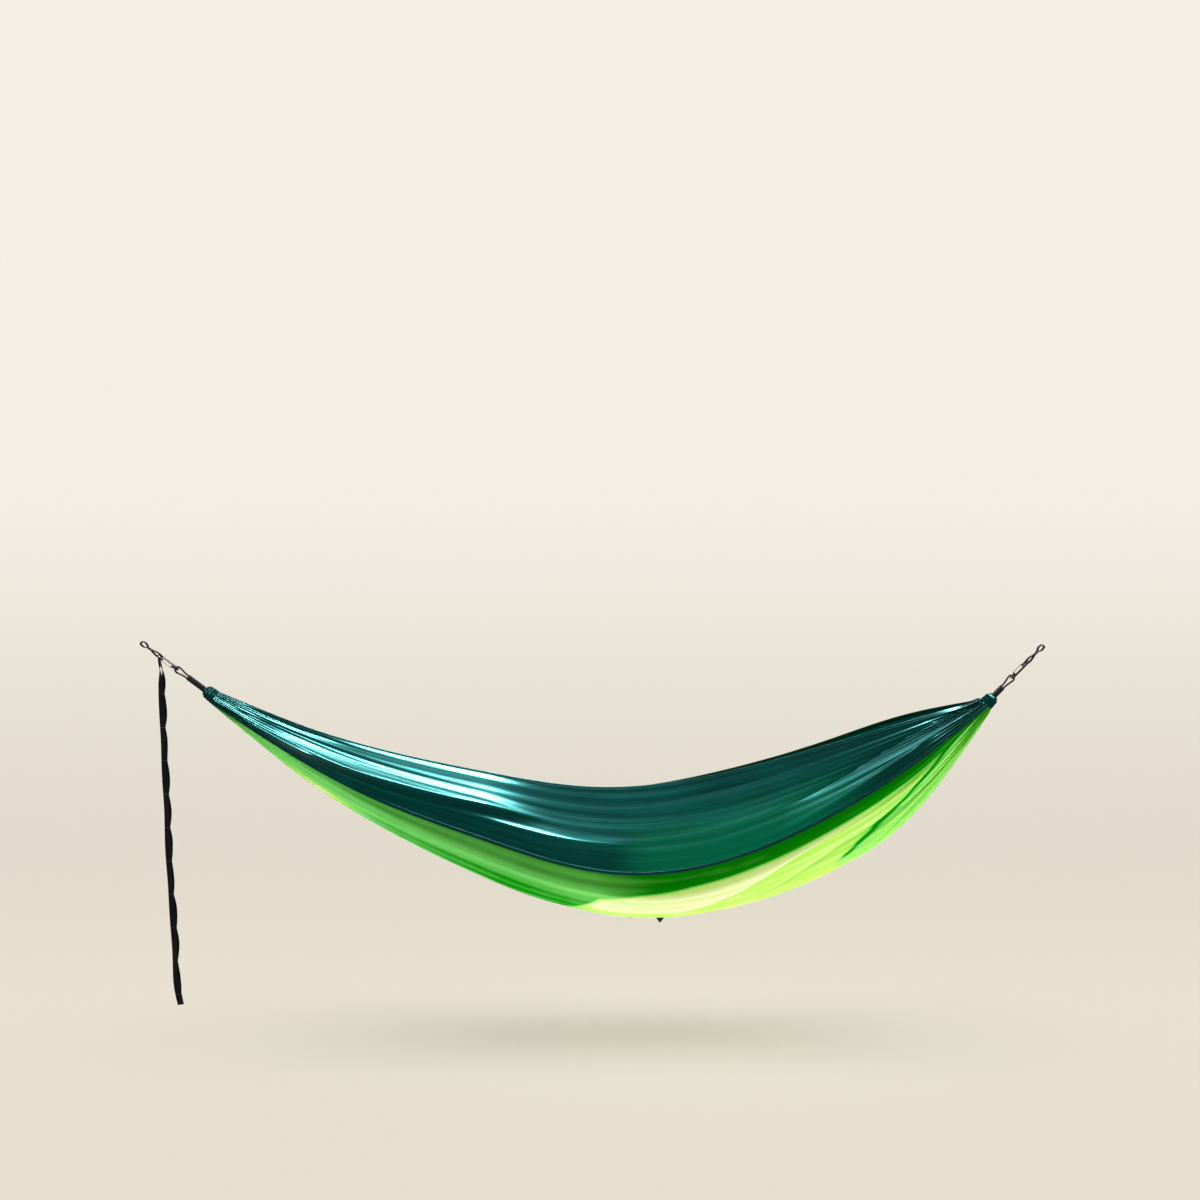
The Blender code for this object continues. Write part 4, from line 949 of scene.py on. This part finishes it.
# Glow colours run from painted shade to painted sunlight.
TEAL = nylon(
    "teal_nylon_cloth",
    deep=(0.000, 0.022, 0.024),
    bright=(0.000, 0.080, 0.077),
    tint=(0.04, 0.97, 0.96),
    through=((0.0, 0.10, 0.09), (0.0, 0.28, 0.21), (0.0, 0.60, 0.45), (0.0, 0.75, 0.56)),
    let_through=0.22,
    specular=0.24,
    roughness=0.28,
    coat=0.045,
)
LIME = nylon(
    "lime_nylon_cloth",
    deep=(0.002, 0.220, 0.001),
    bright=(0.040, 0.320, 0.022),
    tint=(0.30, 1.0, 0.25),
    through=((0.002, 0.32, 0.000), (0.27, 0.84, 0.21), (0.66, 1.0, 0.16), (1.0, 1.0, 0.60)),
    let_through=0.94,
    specular=0.22,
    roughness=0.42,
    coat=0.0,
)
TEAL_BAND = woven("teal_folded_cloth", (0.0, 0.060, 0.060), (0.004, 0.130, 0.120), NYLON_THREADS, 0.5, 0.0001)
TEAL_THREAD = moulded("teal_thread", (0.004, 0.120, 0.110), 0.55)
WEBBING = woven("black_webbing_weave", (0.001, 0.001, 0.004), (0.008, 0.008, 0.018), 620.0, 0.72, 0.0004)
ROPE_FINISH = braid("black_rope_braid", (0.003, 0.003, 0.005), (0.030, 0.030, 0.036), 0.62)
CORD_FINISH = braid("black_cord_braid", (0.004, 0.004, 0.006), (0.034, 0.034, 0.040), 0.55)
BLACK_THREAD = moulded("black_thread", (0.012, 0.012, 0.020), 0.5)
ALLOY = worn_metal("black_anodised_alloy", (0.018, 0.018, 0.021), (0.30, 0.30, 0.31), 0.34, 0.85, 0.5)
GATE_STEEL = worn_metal("gate_steel", (0.30, 0.30, 0.31), (0.5, 0.5, 0.5), 0.30, 1.0, 0.6)
LOCK_PLASTIC = moulded("lock_plastic_grain", (0.014, 0.014, 0.017), 0.5)


# Camera, light and stage


def add_camera():
    """A level camera, square to the hammock's length."""
    lens = bpy.data.cameras.new("camera")
    lens.lens = CAMERA_LENS
    lens.sensor_width = 36.0
    lens.clip_end = 60.0
    camera = bpy.data.objects.new("camera", lens)
    camera.location = CAMERA_AT
    camera.rotation_euler = (math.radians(90), 0.0, 0.0)
    bpy.context.scene.collection.objects.link(camera)
    bpy.context.scene.camera = camera


def add_lamps(sweep_made):
    """The lamps; light linking says whether each one lights the stage."""
    for name, towards, energy, size, diffuse, gloss, for_stage in LAMPS:
        lamp = bpy.data.lights.new(name, "SUN")
        lamp.energy = energy
        lamp.angle = math.radians(size)
        made = bpy.data.objects.new(name, lamp)
        made.rotation_euler = Vector(towards).to_track_quat("-Z", "Y").to_euler()
        made.visible_diffuse = diffuse
        made.visible_glossy = gloss
        made.visible_transmission = diffuse
        bpy.context.scene.collection.objects.link(made)
        lit = bpy.data.collections.new(f"{name}_on_stage")
        lit.objects.link(sweep_made)
        made.light_linking.receiver_collection = lit
        lit.collection_objects[0].light_linking.link_state = "INCLUDE" if for_stage else "EXCLUDE"


def seen_rays(tree):
    """1 for a ray that shows the background: from the camera, in a reflection or through glass."""
    rays = add_node(tree, "LightPath", {}).outputs
    seen = maths(tree, "MAXIMUM", rays["Is Camera Ray"], rays["Is Glossy Ray"])
    return maths(tree, "MAXIMUM", seen, rays["Is Transmission Ray"])


def add_world():
    """A dim white world as light, which shows as pale as the stage's far parts."""
    world = bpy.data.worlds.new("studio")
    world.use_nodes = True
    tree = world.node_tree
    lit = feed_all(tree, tree.nodes["Background"], {"Color": (1.0, 1.0, 1.0), "Strength": WORLD_LIGHT})
    pale = add_node(tree, "Background", {"Color": WORLD_PALE, "Strength": 1.0})
    show(tree, mix_shaders(tree, seen_rays(tree), lit, pale), "World Output")
    bpy.context.scene.world = world


def stage_paint():
    """Matt paint that glows a little for the rays that show it, more up the wall than on the level
    floor. It is clear from behind, so that it never hides the hammock."""
    made, tree, shader = new_material("stage_paint")
    feed_all(tree, shader, {"Base Color": STAGE_PAINT, "Roughness": 0.95, "Specular IOR Level": 0.0})
    place = add_node(tree, "TexCoord", {}).outputs
    height = add_node(tree, "SeparateXYZ", {0: place["Object"]}).outputs["Z"]
    share = spread(tree, height, FLOOR_AT, FLOOR_AT + GLOW_RISE, 0.0, 1.0)
    glow = add_node(tree, "Emission", {"Color": mix_colour(tree, share, GLOW_LOW, GLOW_HIGH)})
    facing_up = add_node(tree, "SeparateXYZ", {0: place["Normal"]}).outputs["Z"]
    level = maths(tree, "POWER", maths(tree, "ABSOLUTE", facing_up), 3.0)
    glows = times(tree, seen_rays(tree), maths(tree, "MULTIPLY_ADD", level, -FLOOR_SHADE, 1.0))
    front = mix_shaders(tree, glows, shader, glow)
    from_camera = add_node(tree, "LightPath", {}).outputs["Is Camera Ray"]
    backfacing = add_node(tree, "NewGeometry", {}).outputs["Backfacing"]
    behind = times(tree, backfacing, from_camera)
    show(tree, mix_shaders(tree, behind, front, add_node(tree, "BsdfTransparent", {})))
    return made


def stage():
    """A pale sweep: a floor that turns up into a wall behind, as one strip along X."""
    turn = np.radians(np.linspace(0, 90, 25))
    depth = np.concatenate([[STAGE_NEAR], STAGE_FAR + STAGE_BEND * (np.sin(turn) - 1), [STAGE_FAR]])
    height = np.concatenate([[0.0], STAGE_BEND * (1 - np.cos(turn)), [STAGE_HIGH]]) + FLOOR_AT
    edges = (STAGE_MIDDLE + STAGE_HALF, STAGE_MIDDLE - STAGE_HALF)
    points = np.stack([np.stack([np.full_like(depth, x), depth, height], axis=1) for x in edges])
    made = piece("stage_sweep", points, grid_faces(2, len(depth)), stage_paint(), closed=False)
    return made


# Suspension


def braided(path, radius, strands=8, lay=0.011, depth=0.07):
    """Section rings of a braid: the radius dips where neither of two opposite helices is on top."""
    angles = around(3 * strands)
    turns = 2 * math.pi * run_along(path)[:, None] / lay
    half = strands / 2
    one, other = np.cos(half * angles + turns), np.cos(half * angles - turns)
    radii = radius * (1 - depth + depth * np.maximum(np.abs(one), np.abs(other)))
    return radii[:, :, None] * round_section(1.0, 3 * strands)


def rope_loop(side, end, reach):
    """One rope: up a leg, round the bar as an eye that narrows to its neck, and down the other leg."""
    stop = ROPE_BAR_AT + reach + CHANNEL_LENGTH + CLEARANCE
    leg = LEG_APART / 2
    centre = ROPE_BAR_AT - (ROD + ROPE) / 2 - CLEARANCE + EYE_BEND_RADIUS
    neck = ROPE_BAR_AT + EYE_REACH
    taper = centre + 0.55 * (neck - centre)
    taper_half = leg + 0.30 * (EYE_BEND_RADIUS - leg)
    lower = [(stop, 0, -leg), ((stop + neck) / 2, 0, -leg), (neck, 0, -leg), (taper, 0, -taper_half)]
    bend = [
        (centre - EYE_BEND_RADIUS * math.cos(angle), 0.0, EYE_BEND_RADIUS * math.sin(angle))
        for angle in np.radians(np.linspace(-100, 100, 15))
    ]
    upper = [(x, y, -z) for x, y, z in lower[::-1]]
    line, _ = smooth_route(lower + bend + upper, 460)
    path = at_end(end, line)
    made = tube_piece(f"{side}_rope_braid", path, braided(path, ROPE / 2), ROPE_FINISH)
    belongs(made, "bed", "black_rope", f"{side}_rope_loop")


def oval_round(x, angle, out):
    """Round both legs of the rope at a distance: a circle split in two by the legs' spacing."""
    radius = ROPE / 2 + out
    shift = np.tanh(6 * np.sin(angle)) * LEG_APART / 2
    return np.stack([x, radius * np.cos(angle), shift + radius * np.sin(angle)], axis=-1)


def whipping(side, end, reach):
    """One cord wound round both legs, turn by turn."""
    start, stop = ROPE_BAR_AT + EYE_REACH + WHIPPING_INSET, ROPE_BAR_AT + reach - WHIPPING_INSET
    turns = round((stop - start) / (WHIPPING_SPACING * WHIPPING_CORD))
    share = np.linspace(0, 1, 26 * turns + 1)
    angle = 2 * math.pi * turns * share
    x = start + (stop - start) * share
    path = at_end(end, oval_round(x, angle, WHIPPING_CORD / 2 + WHIPPING_OFF_ROPE))
    section = round_section(WHIPPING_CORD / 2, 8)
    made = tube_piece(f"{side}_whipping_turns", path, section, CORD_FINISH)
    belongs(made, "bed", "black_cord", f"{side}_rope_whipping")


def rope_knot(side, end, reach):
    """The rope's own end wrapped in a barrel: a helix of rope round a straight core."""
    start = ROPE_BAR_AT + reach + CHANNEL_LENGTH + KNOT_OFF_CHANNEL + ROPE / 2
    stop = start + KNOT_LENGTH - ROPE
    share = np.linspace(0, 1, 160)
    angle = 2 * math.pi * KNOT_TURNS * share
    radius = KNOT_RADIUS - ROPE / 2 - 0.0004 * np.cos(2 * math.pi * share)
    x = start + (stop - start) * share
    path = at_end(end, np.stack([x, radius * np.cos(angle), radius * np.sin(angle)], axis=1))
    made = tube_piece(f"{side}_knot_wraps", path, braided(path, ROPE / 2), ROPE_FINISH)
    core = at_end(end, [(x, 0.0, 0.0) for x in (start - 0.002, start + 0.006, stop + 0.0025)])
    core, _ = smooth_route(core, 30)
    inner = tube_piece(f"{side}_knot_core", core, braided(core, ROPE / 2 + 0.001), ROPE_FINISH)
    belongs(made, "bed", "black_rope", f"{side}_rope_knot")
    belongs(inner, "bed", "black_rope")


def end_channel(side, end, reach):
    """The gathered end of the bed: a hollow sleeve of deep uneven pleats round the rope's two legs.
    Its outline at each place along is an oval that widens towards the cloth, times one plus two waves
    of pleats that drift."""
    start = ROPE_BAR_AT + reach
    along, sides = 60, 240
    share = np.linspace(0, 1, along)[:, None]
    angle = around(sides)[None, :]
    body = 0.56 + 0.22 * rise(share, 0, 0.35) - 0.03 * hump(share, 0.45, 0.10) + 0.07 * share
    pleat = np.sin(SLEEVE_PLEATS * angle + 2.2 * np.sin(2 * angle + 2.0 * share) + 1.5 * share)
    fine = np.sin(SLEEVE_FINE_PLEATS * angle + 4.0 * np.sin(3 * angle) - 2.0 * share)
    out = body * (1 + (0.052 * pleat + 0.022 * fine) * (0.4 + 0.6 * ease(share / 0.25)))
    x = start + CHANNEL_LENGTH * share + 0 * angle
    wide, high = CHANNEL_HALF_WIDE * out, CHANNEL_HALF_HIGH * out
    shell = np.stack([x, wide * np.cos(angle), high * np.sin(angle)], axis=2)
    stop = start + CHANNEL_LENGTH
    bore, back = (oval_round(np.full(sides, at), angle[0], SLEEVE_OFF_ROPE)[None] for at in (start, stop))
    rings = at_end(end, np.concatenate([bore, shell, back]))
    rows = len(rings)
    run, way = np.linspace(0, CHANNEL_LENGTH, rows), np.linspace(0, 0.5, sides)
    uv = np.stack(np.meshgrid(run, way, indexing="ij"), axis=2)
    made = piece(f"{side}_gathered_sleeve", rings, grid_faces(rows, sides, True, True), TEAL, uv=uv)
    cloth_value(made, "drawn", SLEEVE_DRAWN)
    belongs(made, "bed", "teal_nylon", f"{side}_end_channel")


def strap_head(side, end):
    """The strap's head: one closed band of webbing through its outer eye, tack and carabiner loop."""
    ply = WEB_THICK / 2
    swell = EYE_SEAT_HALF + EYE_SWELL
    loop_half = ROD / 2 + CLEARANCE
    tack_to = EYE_LENGTH + HEAD_TACK
    loop = STRAP_BAR_AT - tack_to
    upper = [
        (-ply, 0.0),
        (-ply, 0.65 * EYE_SEAT_HALF),
        (-0.2 * ply, EYE_SEAT_HALF + 0.75 * ply),
        (0.15 * EYE_LENGTH, 0.5 * (EYE_SEAT_HALF + swell) + ply),
        (0.40 * EYE_LENGTH, swell + ply),
        (0.70 * EYE_LENGTH, 0.55 * swell + ply),
        (0.90 * EYE_LENGTH, 0.10 * swell + ply),
        (EYE_LENGTH, ply + PLY_GAP),
        (EYE_LENGTH + HEAD_TACK / 2, ply + PLY_GAP),
        (tack_to, ply + PLY_GAP),
        (tack_to + 0.12 * loop, 0.16 * loop_half + ply),
        (tack_to + 0.40 * loop, 0.70 * loop_half + ply),
        (tack_to + 0.70 * loop, loop_half + ply),
        (STRAP_BAR_AT + 0.1 * ROD, loop_half + ply),
        (STRAP_BAR_AT + 0.62 * ROD, 0.72 * loop_half + ply),
        (STRAP_BAR_AT + 0.86 * ROD, 0.0),
    ]
    lower = [(x, -z) for x, z in upper[-2:0:-1]]
    ring = np.array([(x, 0.0, z) for x, z in upper + lower + upper[:1]])
    line, _ = smooth_route(ring, 361)
    path = at_end(end, line[:-1])
    level = end[2]
    made = tube_piece(f"{side}_strap_webbing", path, WEB_SECTION, WEBBING, level, True)
    belongs(made, "anchor_straps", "black_webbing", f"{side}_tree_strap")
    for k, x in enumerate((EYE_LENGTH + TACK_IN, tack_to - TACK_IN)):
        centre = at_end(end, (x, 0.0, 0.0))
        tack = bar_tack(f"{side}_head_tack_{k + 1}", centre, level, end[3], end[1])
        belongs(tack, "anchor_straps", "black_webbing")


def bar_tack(name, centre, wide, proud, along):
    """A bar tack through two plies: one thread zigzags along one face and back on the other face."""
    share = np.linspace(-1, 1, 2 * TACK_ROWS)
    swing = np.where(np.arange(2 * TACK_ROWS) % 2 == 0, TACK_REACH, -TACK_REACH)
    lift = WEB_THICK + 0.7 * THREAD
    top = np.stack([share * TACK_HALF, swing, np.full_like(share, lift)], axis=1)
    under = np.stack([share[::-1] * TACK_HALF, swing, np.full_like(share, -lift)], axis=1)
    corners = np.concatenate([top, [[TACK_HALF * 1.02, 0.0, 0.0]], under])
    path = centre + corners[:, :1] * wide + corners[:, 1:2] * along + corners[:, 2:] * proud
    fine = np.concatenate([path[:-1] + (path[1:] - path[:-1]) * s for s in (0.0, 0.5)], axis=1).reshape(-1, 3)
    return tube_piece(name, fine, round_section(THREAD * 0.8, 6), BLACK_THREAD)


def strap_tail():
    """The strap below its carabiner: a straight inner ply, and an outer ply that stands off it as a
    loop between tacks. Both are bands swept along the tail's route, which turns as it hangs."""
    bar = np.array(JOINTS["strap_tail_swing"]["pos_m"], float)
    start = bar - np.array((0.0, 0.0, TAIL_TOP_BELOW_BAR))
    hangs = LOOP_PITCH * LOOP_COUNT
    route = [start] + [start + hangs * np.array((x, 0.0, -z)) for x, z in TAIL_ROUTE]
    tacks = [TAIL_START + LOOP_PITCH * k + LOOP_TACK / 2 for k in range(LOOP_COUNT + 1)]
    length = tacks[-1] + LOOP_TACK / 2 + TAIL_END
    line, run = smooth_route(route, 900)
    at = np.linspace(0, length, len(line)) * run / length
    tangents = unit(np.gradient(line, axis=0))
    turn = math.radians(TAIL_TURN_DEG) * rise(at, TAIL_TURN_FROM, TAIL_TURN_OVER)
    level = np.array((0.0, 1.0, 0.0))
    front = np.cross(level, tangents)
    wide = level * np.cos(turn)[:, None] + front * np.sin(turn)[:, None]
    proud = np.cross(wide, tangents)
    proud *= np.where(proud[:, :1] > 0, 1.0, -1.0)
    nominal = at * length / run
    free = LOOP_PITCH - LOOP_TACK
    k = np.floor((nominal - TAIL_START - LOOP_TACK) / LOOP_PITCH)
    share = np.clip((nominal - TAIL_START - LOOP_TACK - k * LOOP_PITCH) / free, 0, 1)
    inside = (k >= 0) & (k < LOOP_COUNT)
    skew = 0.5 + 0.10 * np.sin(2.3 * k)
    bent = np.where(share < skew, 0.5 * share / skew, 0.5 + 0.5 * (share - skew) / (1 - skew))
    uneven = 0.86 + 0.14 * np.sin(1.7 * k + 1)
    bulge = np.where(inside, LOOP_BULGE * uneven * np.sin(math.pi * bent) ** 0.9, 0.0)
    twist = np.radians(TAIL_TWIST_DEG) * np.sin(2.9 * nominal / LOOP_PITCH + 0.8) * rise(nominal, 0, 0.1)
    wide_now = unit(wide * np.cos(twist)[:, None] + proud * np.sin(twist)[:, None])
    proud_now = np.cross(wide_now, tangents)
    proud_now *= np.sign(np.sum(proud_now * proud, axis=1, keepdims=True))
    inner = line - proud_now * WEB_THICK / 2
    outer = line + proud_now * (bulge[:, None] + WEB_THICK / 2 + PLY_GAP)
    rings = [sweep(path, wide_now, WEB_SECTION) for path in (inner, outer)]
    rows, columns = rings[0].shape[:2]
    quads = grid_faces(rows, columns, False, True)
    caps = end_caps(rows, columns)
    shift = rows * columns
    way = run_along(WEB_SECTION)
    uv = np.stack(np.meshgrid(nominal, way, indexing="ij"), axis=2)
    made = piece(
        "left_strap_tail_webbing",
        np.stack(rings),
        np.concatenate([quads, quads + shift]),
        WEBBING,
        caps + [[i + shift for i in cap] for cap in caps],
        np.stack([uv, uv]),
        smooth_deg=50,
    )
    belongs(made, "strap_tail", "black_webbing", "left_strap_tail")
    sewn = []
    for k, place in enumerate(tacks + [length - TAIL_LAST_TACK]):
        i = int(np.argmin(np.abs(nominal - place)))
        sewn.append(bar_tack(f"tail_tack_{k + 1}", line[i], wide_now[i], proud_now[i], tangents[i]))
        belongs(sewn[-1], "strap_tail", "black_webbing")


# Bed


def bed_edge(name, v, middle_in, width, thick, lift, rows):
    """A hem or seam: a band of folded cloth along one share across, and its rows of stitches, each at
    its distance in from that line."""
    line, normals, across = edge_line(v)
    middle = line + across * middle_in + normals * lift
    band = tube_piece(name, middle, flat_section(width, thick), TEAL, across)
    belongs(band, "bed", "teal_nylon")
    made = [band]
    for row, inwards in rows:
        made.append(stitches(row, line + across * inwards + normals * (lift + thick / 2), normals, across))
    return made


def bed():
    """The three panels, each a sheet with its hem or seam on it."""
    near = bed_panel("near_side_cloth", -1.0, -SEAM_AT, SIDE_CELLS, TEAL)
    centre = bed_panel("centre_cloth", -SEAM_AT, SEAM_AT, CENTRE_CELLS, LIME)
    far = bed_panel("far_side_cloth", SEAM_AT, 1.0, SIDE_CELLS, TEAL)
    hems = {}
    seams = {}
    for name, way in (("near", 1.0), ("far", -1.0)):
        rows = [(f"{name}_hem_stitching", way * (HEM_WIDTH - HEM_STITCH_IN))]
        hems[name] = bed_edge(f"{name}_hem", -way, way * HEM_WIDTH / 2, HEM_WIDTH, HEM_THICK, 0.0, rows)
    out = SEAM_WIDTH / 2 - SEAM_STITCH_IN
    for name, v in (("near", -SEAM_AT), ("far", SEAM_AT)):
        rows = [(f"{name}_seam_stitching_{row}", off) for row, off in (("upper", -out), ("lower", out))]
        seams[name] = bed_edge(f"{name}_felled_seam", v, 0.0, SEAM_WIDTH, SEAM_THICK, SEAM_PROUD, rows)
    for made, node, slot, width, area, sewn in (
        (near, "near_side_panel", "teal_nylon", SIDE_WIDTH, SIDE_AREA, hems["near"] + seams["near"]),
        (centre, "centre_panel", "lime_nylon", CENTRE_WIDTH, CENTRE_AREA, []),
        (far, "far_side_panel", "teal_nylon", SIDE_WIDTH, SIDE_AREA, hems["far"] + seams["far"]),
    ):
        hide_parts(node)


# Stuff sack


def sack_hanger():
    """The top of the tab, where it leaves the far seam."""
    low, high = (np.array(corner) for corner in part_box("stuff_sack_tab"))
    return np.array(((low[0] + high[0]) / 2, low[1] + TAB_THICK / 2, high[2]))


def stuff_sack():
    """An empty square sack hung by a corner. Each face is the square's grid pulled in along its edges,
    with a crown that falls to the edge seam and creases that fan out of the top and left corners."""
    hanger = sack_hanger()
    side = SACK_SIDE / 2
    half_across = math.sqrt(2) * side
    count = SACK_CELLS + 1
    grid = np.linspace(-1, 1, count)
    p, q = np.meshgrid(grid, grid, indexing="ij")
    pull = 1 - SACK_PULL * ((1 - q**2) * np.abs(p) + (1 - p**2) * np.abs(q))
    inner = (1 - p**2) * (1 - q**2)
    crown = SACK_EDGE / 2 + (SACK_THICK / 2 - SACK_EDGE / 2) * inner**0.6
    x = side * pull * (p - q) / math.sqrt(2)
    z = side * pull * (p + q) / math.sqrt(2)
    from_top = np.hypot(x, z - half_across)
    angle = np.arctan2(x, half_across - z)
    fan = 0.0016 * np.sin(16 * angle + 1.5 * np.sin(5 * angle)) * np.exp(-from_top / 0.075)
    from_left = np.hypot(x + half_across, z)
    turn = np.arctan2(z, x + half_across)
    fan = fan + 0.0020 * np.sin(19 * turn + 1.2) * np.exp(-from_left / 0.06)
    drape = 0.0022 * np.sin(5.2 * (p - 0.4 * q)) + 0.0011 * np.sin(11 * p + 7 * q + 1.0)
    edge_fade = np.clip(inner * 3, 0, 1)
    centre = np.array((0.0, SACK_STANDOFF, -TAB_LENGTH - TAB_TO_SACK - half_across))
    faces = []
    for sign in (-1, 1):
        y = drape * inner + sign * crown + fan * edge_fade * (1 if sign < 0 else 0.8)
        faces.append(np.stack([x, y, z], axis=2) + centre + hanger)
    quads = grid_faces(count, count)
    shift = count * count
    place = np.arange(shift).reshape(count, count)
    ring = [*place[:, 0], *place[-1, 1:], *place[-2::-1, -1], *place[0, -2:0:-1]]
    rim = [(b, a, a + shift, b + shift) for a, b in zip(ring, ring[1:] + ring[:1])]
    cloth = np.stack([p * side, q * side], axis=2)
    quads = np.concatenate([quads, quads[:, ::-1] + shift, rim])
    made = piece("stuff_sack_cloth", np.stack(faces), quads, TEAL, uv=np.stack([cloth, cloth]))
    belongs(made, "sack", "teal_nylon", "stuff_sack")

    edge = np.concatenate([f.reshape(-1, 3)[ring][None] for f in faces]).mean(axis=0)
    outward = unit(edge - (centre + hanger))
    welt = tube_piece("stuff_sack_edge_seam", edge, flat_section(*WELT_SECTION), TEAL_BAND, outward, True)
    belongs(welt, "sack", "teal_nylon")

    t = np.linspace(0, 1, 60)
    path = hanger + np.stack([0 * t, SACK_STANDOFF * ease(t), -TAB_LENGTH * t], axis=1)
    section = flat_section(TAB_WIDTH, TAB_THICK, 0.0004)
    tab = tube_piece("stuff_sack_tab_tape", path, section, WEBBING, (1.0, 0.0, 0.0))
    belongs(tab, "bed", "black_webbing", "stuff_sack_tab")
    return hanger


def drawcord(hanger):
    """The drawcord's loop: down from the left corner, round at its end, and up again beside itself."""
    half_across = math.sqrt(2) * SACK_SIDE / 2
    down = -TAB_LENGTH - TAB_TO_SACK - half_across
    top = hanger + np.array((-half_across - DRAWCORD_OFF_CORNER, SACK_STANDOFF, down))
    half = STRANDS_APART / 2
    low = DRAWCORD_HANG - half
    strand = [(0.0, half, -low * share) for share in (0.0, 0.25, 0.5, 0.75, 0.94, 1.0)]
    turn = np.radians((30, 60, 90, 120, 150))
    bend = [(0.0, half * math.cos(angle), -low - half * math.sin(angle)) for angle in turn]
    route = strand + bend + [(x, -y, z) for x, y, z in strand[::-1]]
    line, run = smooth_route(top + np.array(route), 420)
    rings = braided(line, DRAWCORD / 2, 6, 0.006, 0.09)
    made = tube_piece("stuff_sack_drawcord_braid", line, rings, CORD_FINISH)
    belongs(made, "sack", "black_cord", "stuff_sack_drawcord")


def finish_solids():
    """The metal and plastic solids stay as they are and get their finishes."""
    for names, finish in (
        (("left_carabiner", "right_carabiner"), ALLOY),
        (("left_carabiner_gate", "right_carabiner_gate", "cord_lock_spring"), GATE_STEEL),
        (("cord_lock_body", "cord_lock_button"), LOCK_PLASTIC),
    ):
        for name in names:
            mesh = frame["nodes"][name].data
            mesh.materials.clear()
            mesh.materials.append(finish)

    # The spring gets a mesh of its own.
    spring = frame["nodes"]["cord_lock_spring"]
    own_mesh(spring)


strap_tail()
HANGER = stuff_sack()
drawcord(HANGER)
bed()
for side, end, reach in ENDS:
    end_channel(side, end, reach)
    rope_loop(side, end, reach)
    whipping(side, end, reach)
    rope_knot(side, end, reach)
    strap_head(side, end)
finish_solids()
bpy.context.scene.view_settings.view_transform = "Standard"
add_camera()
add_lamps(stage())
add_world()
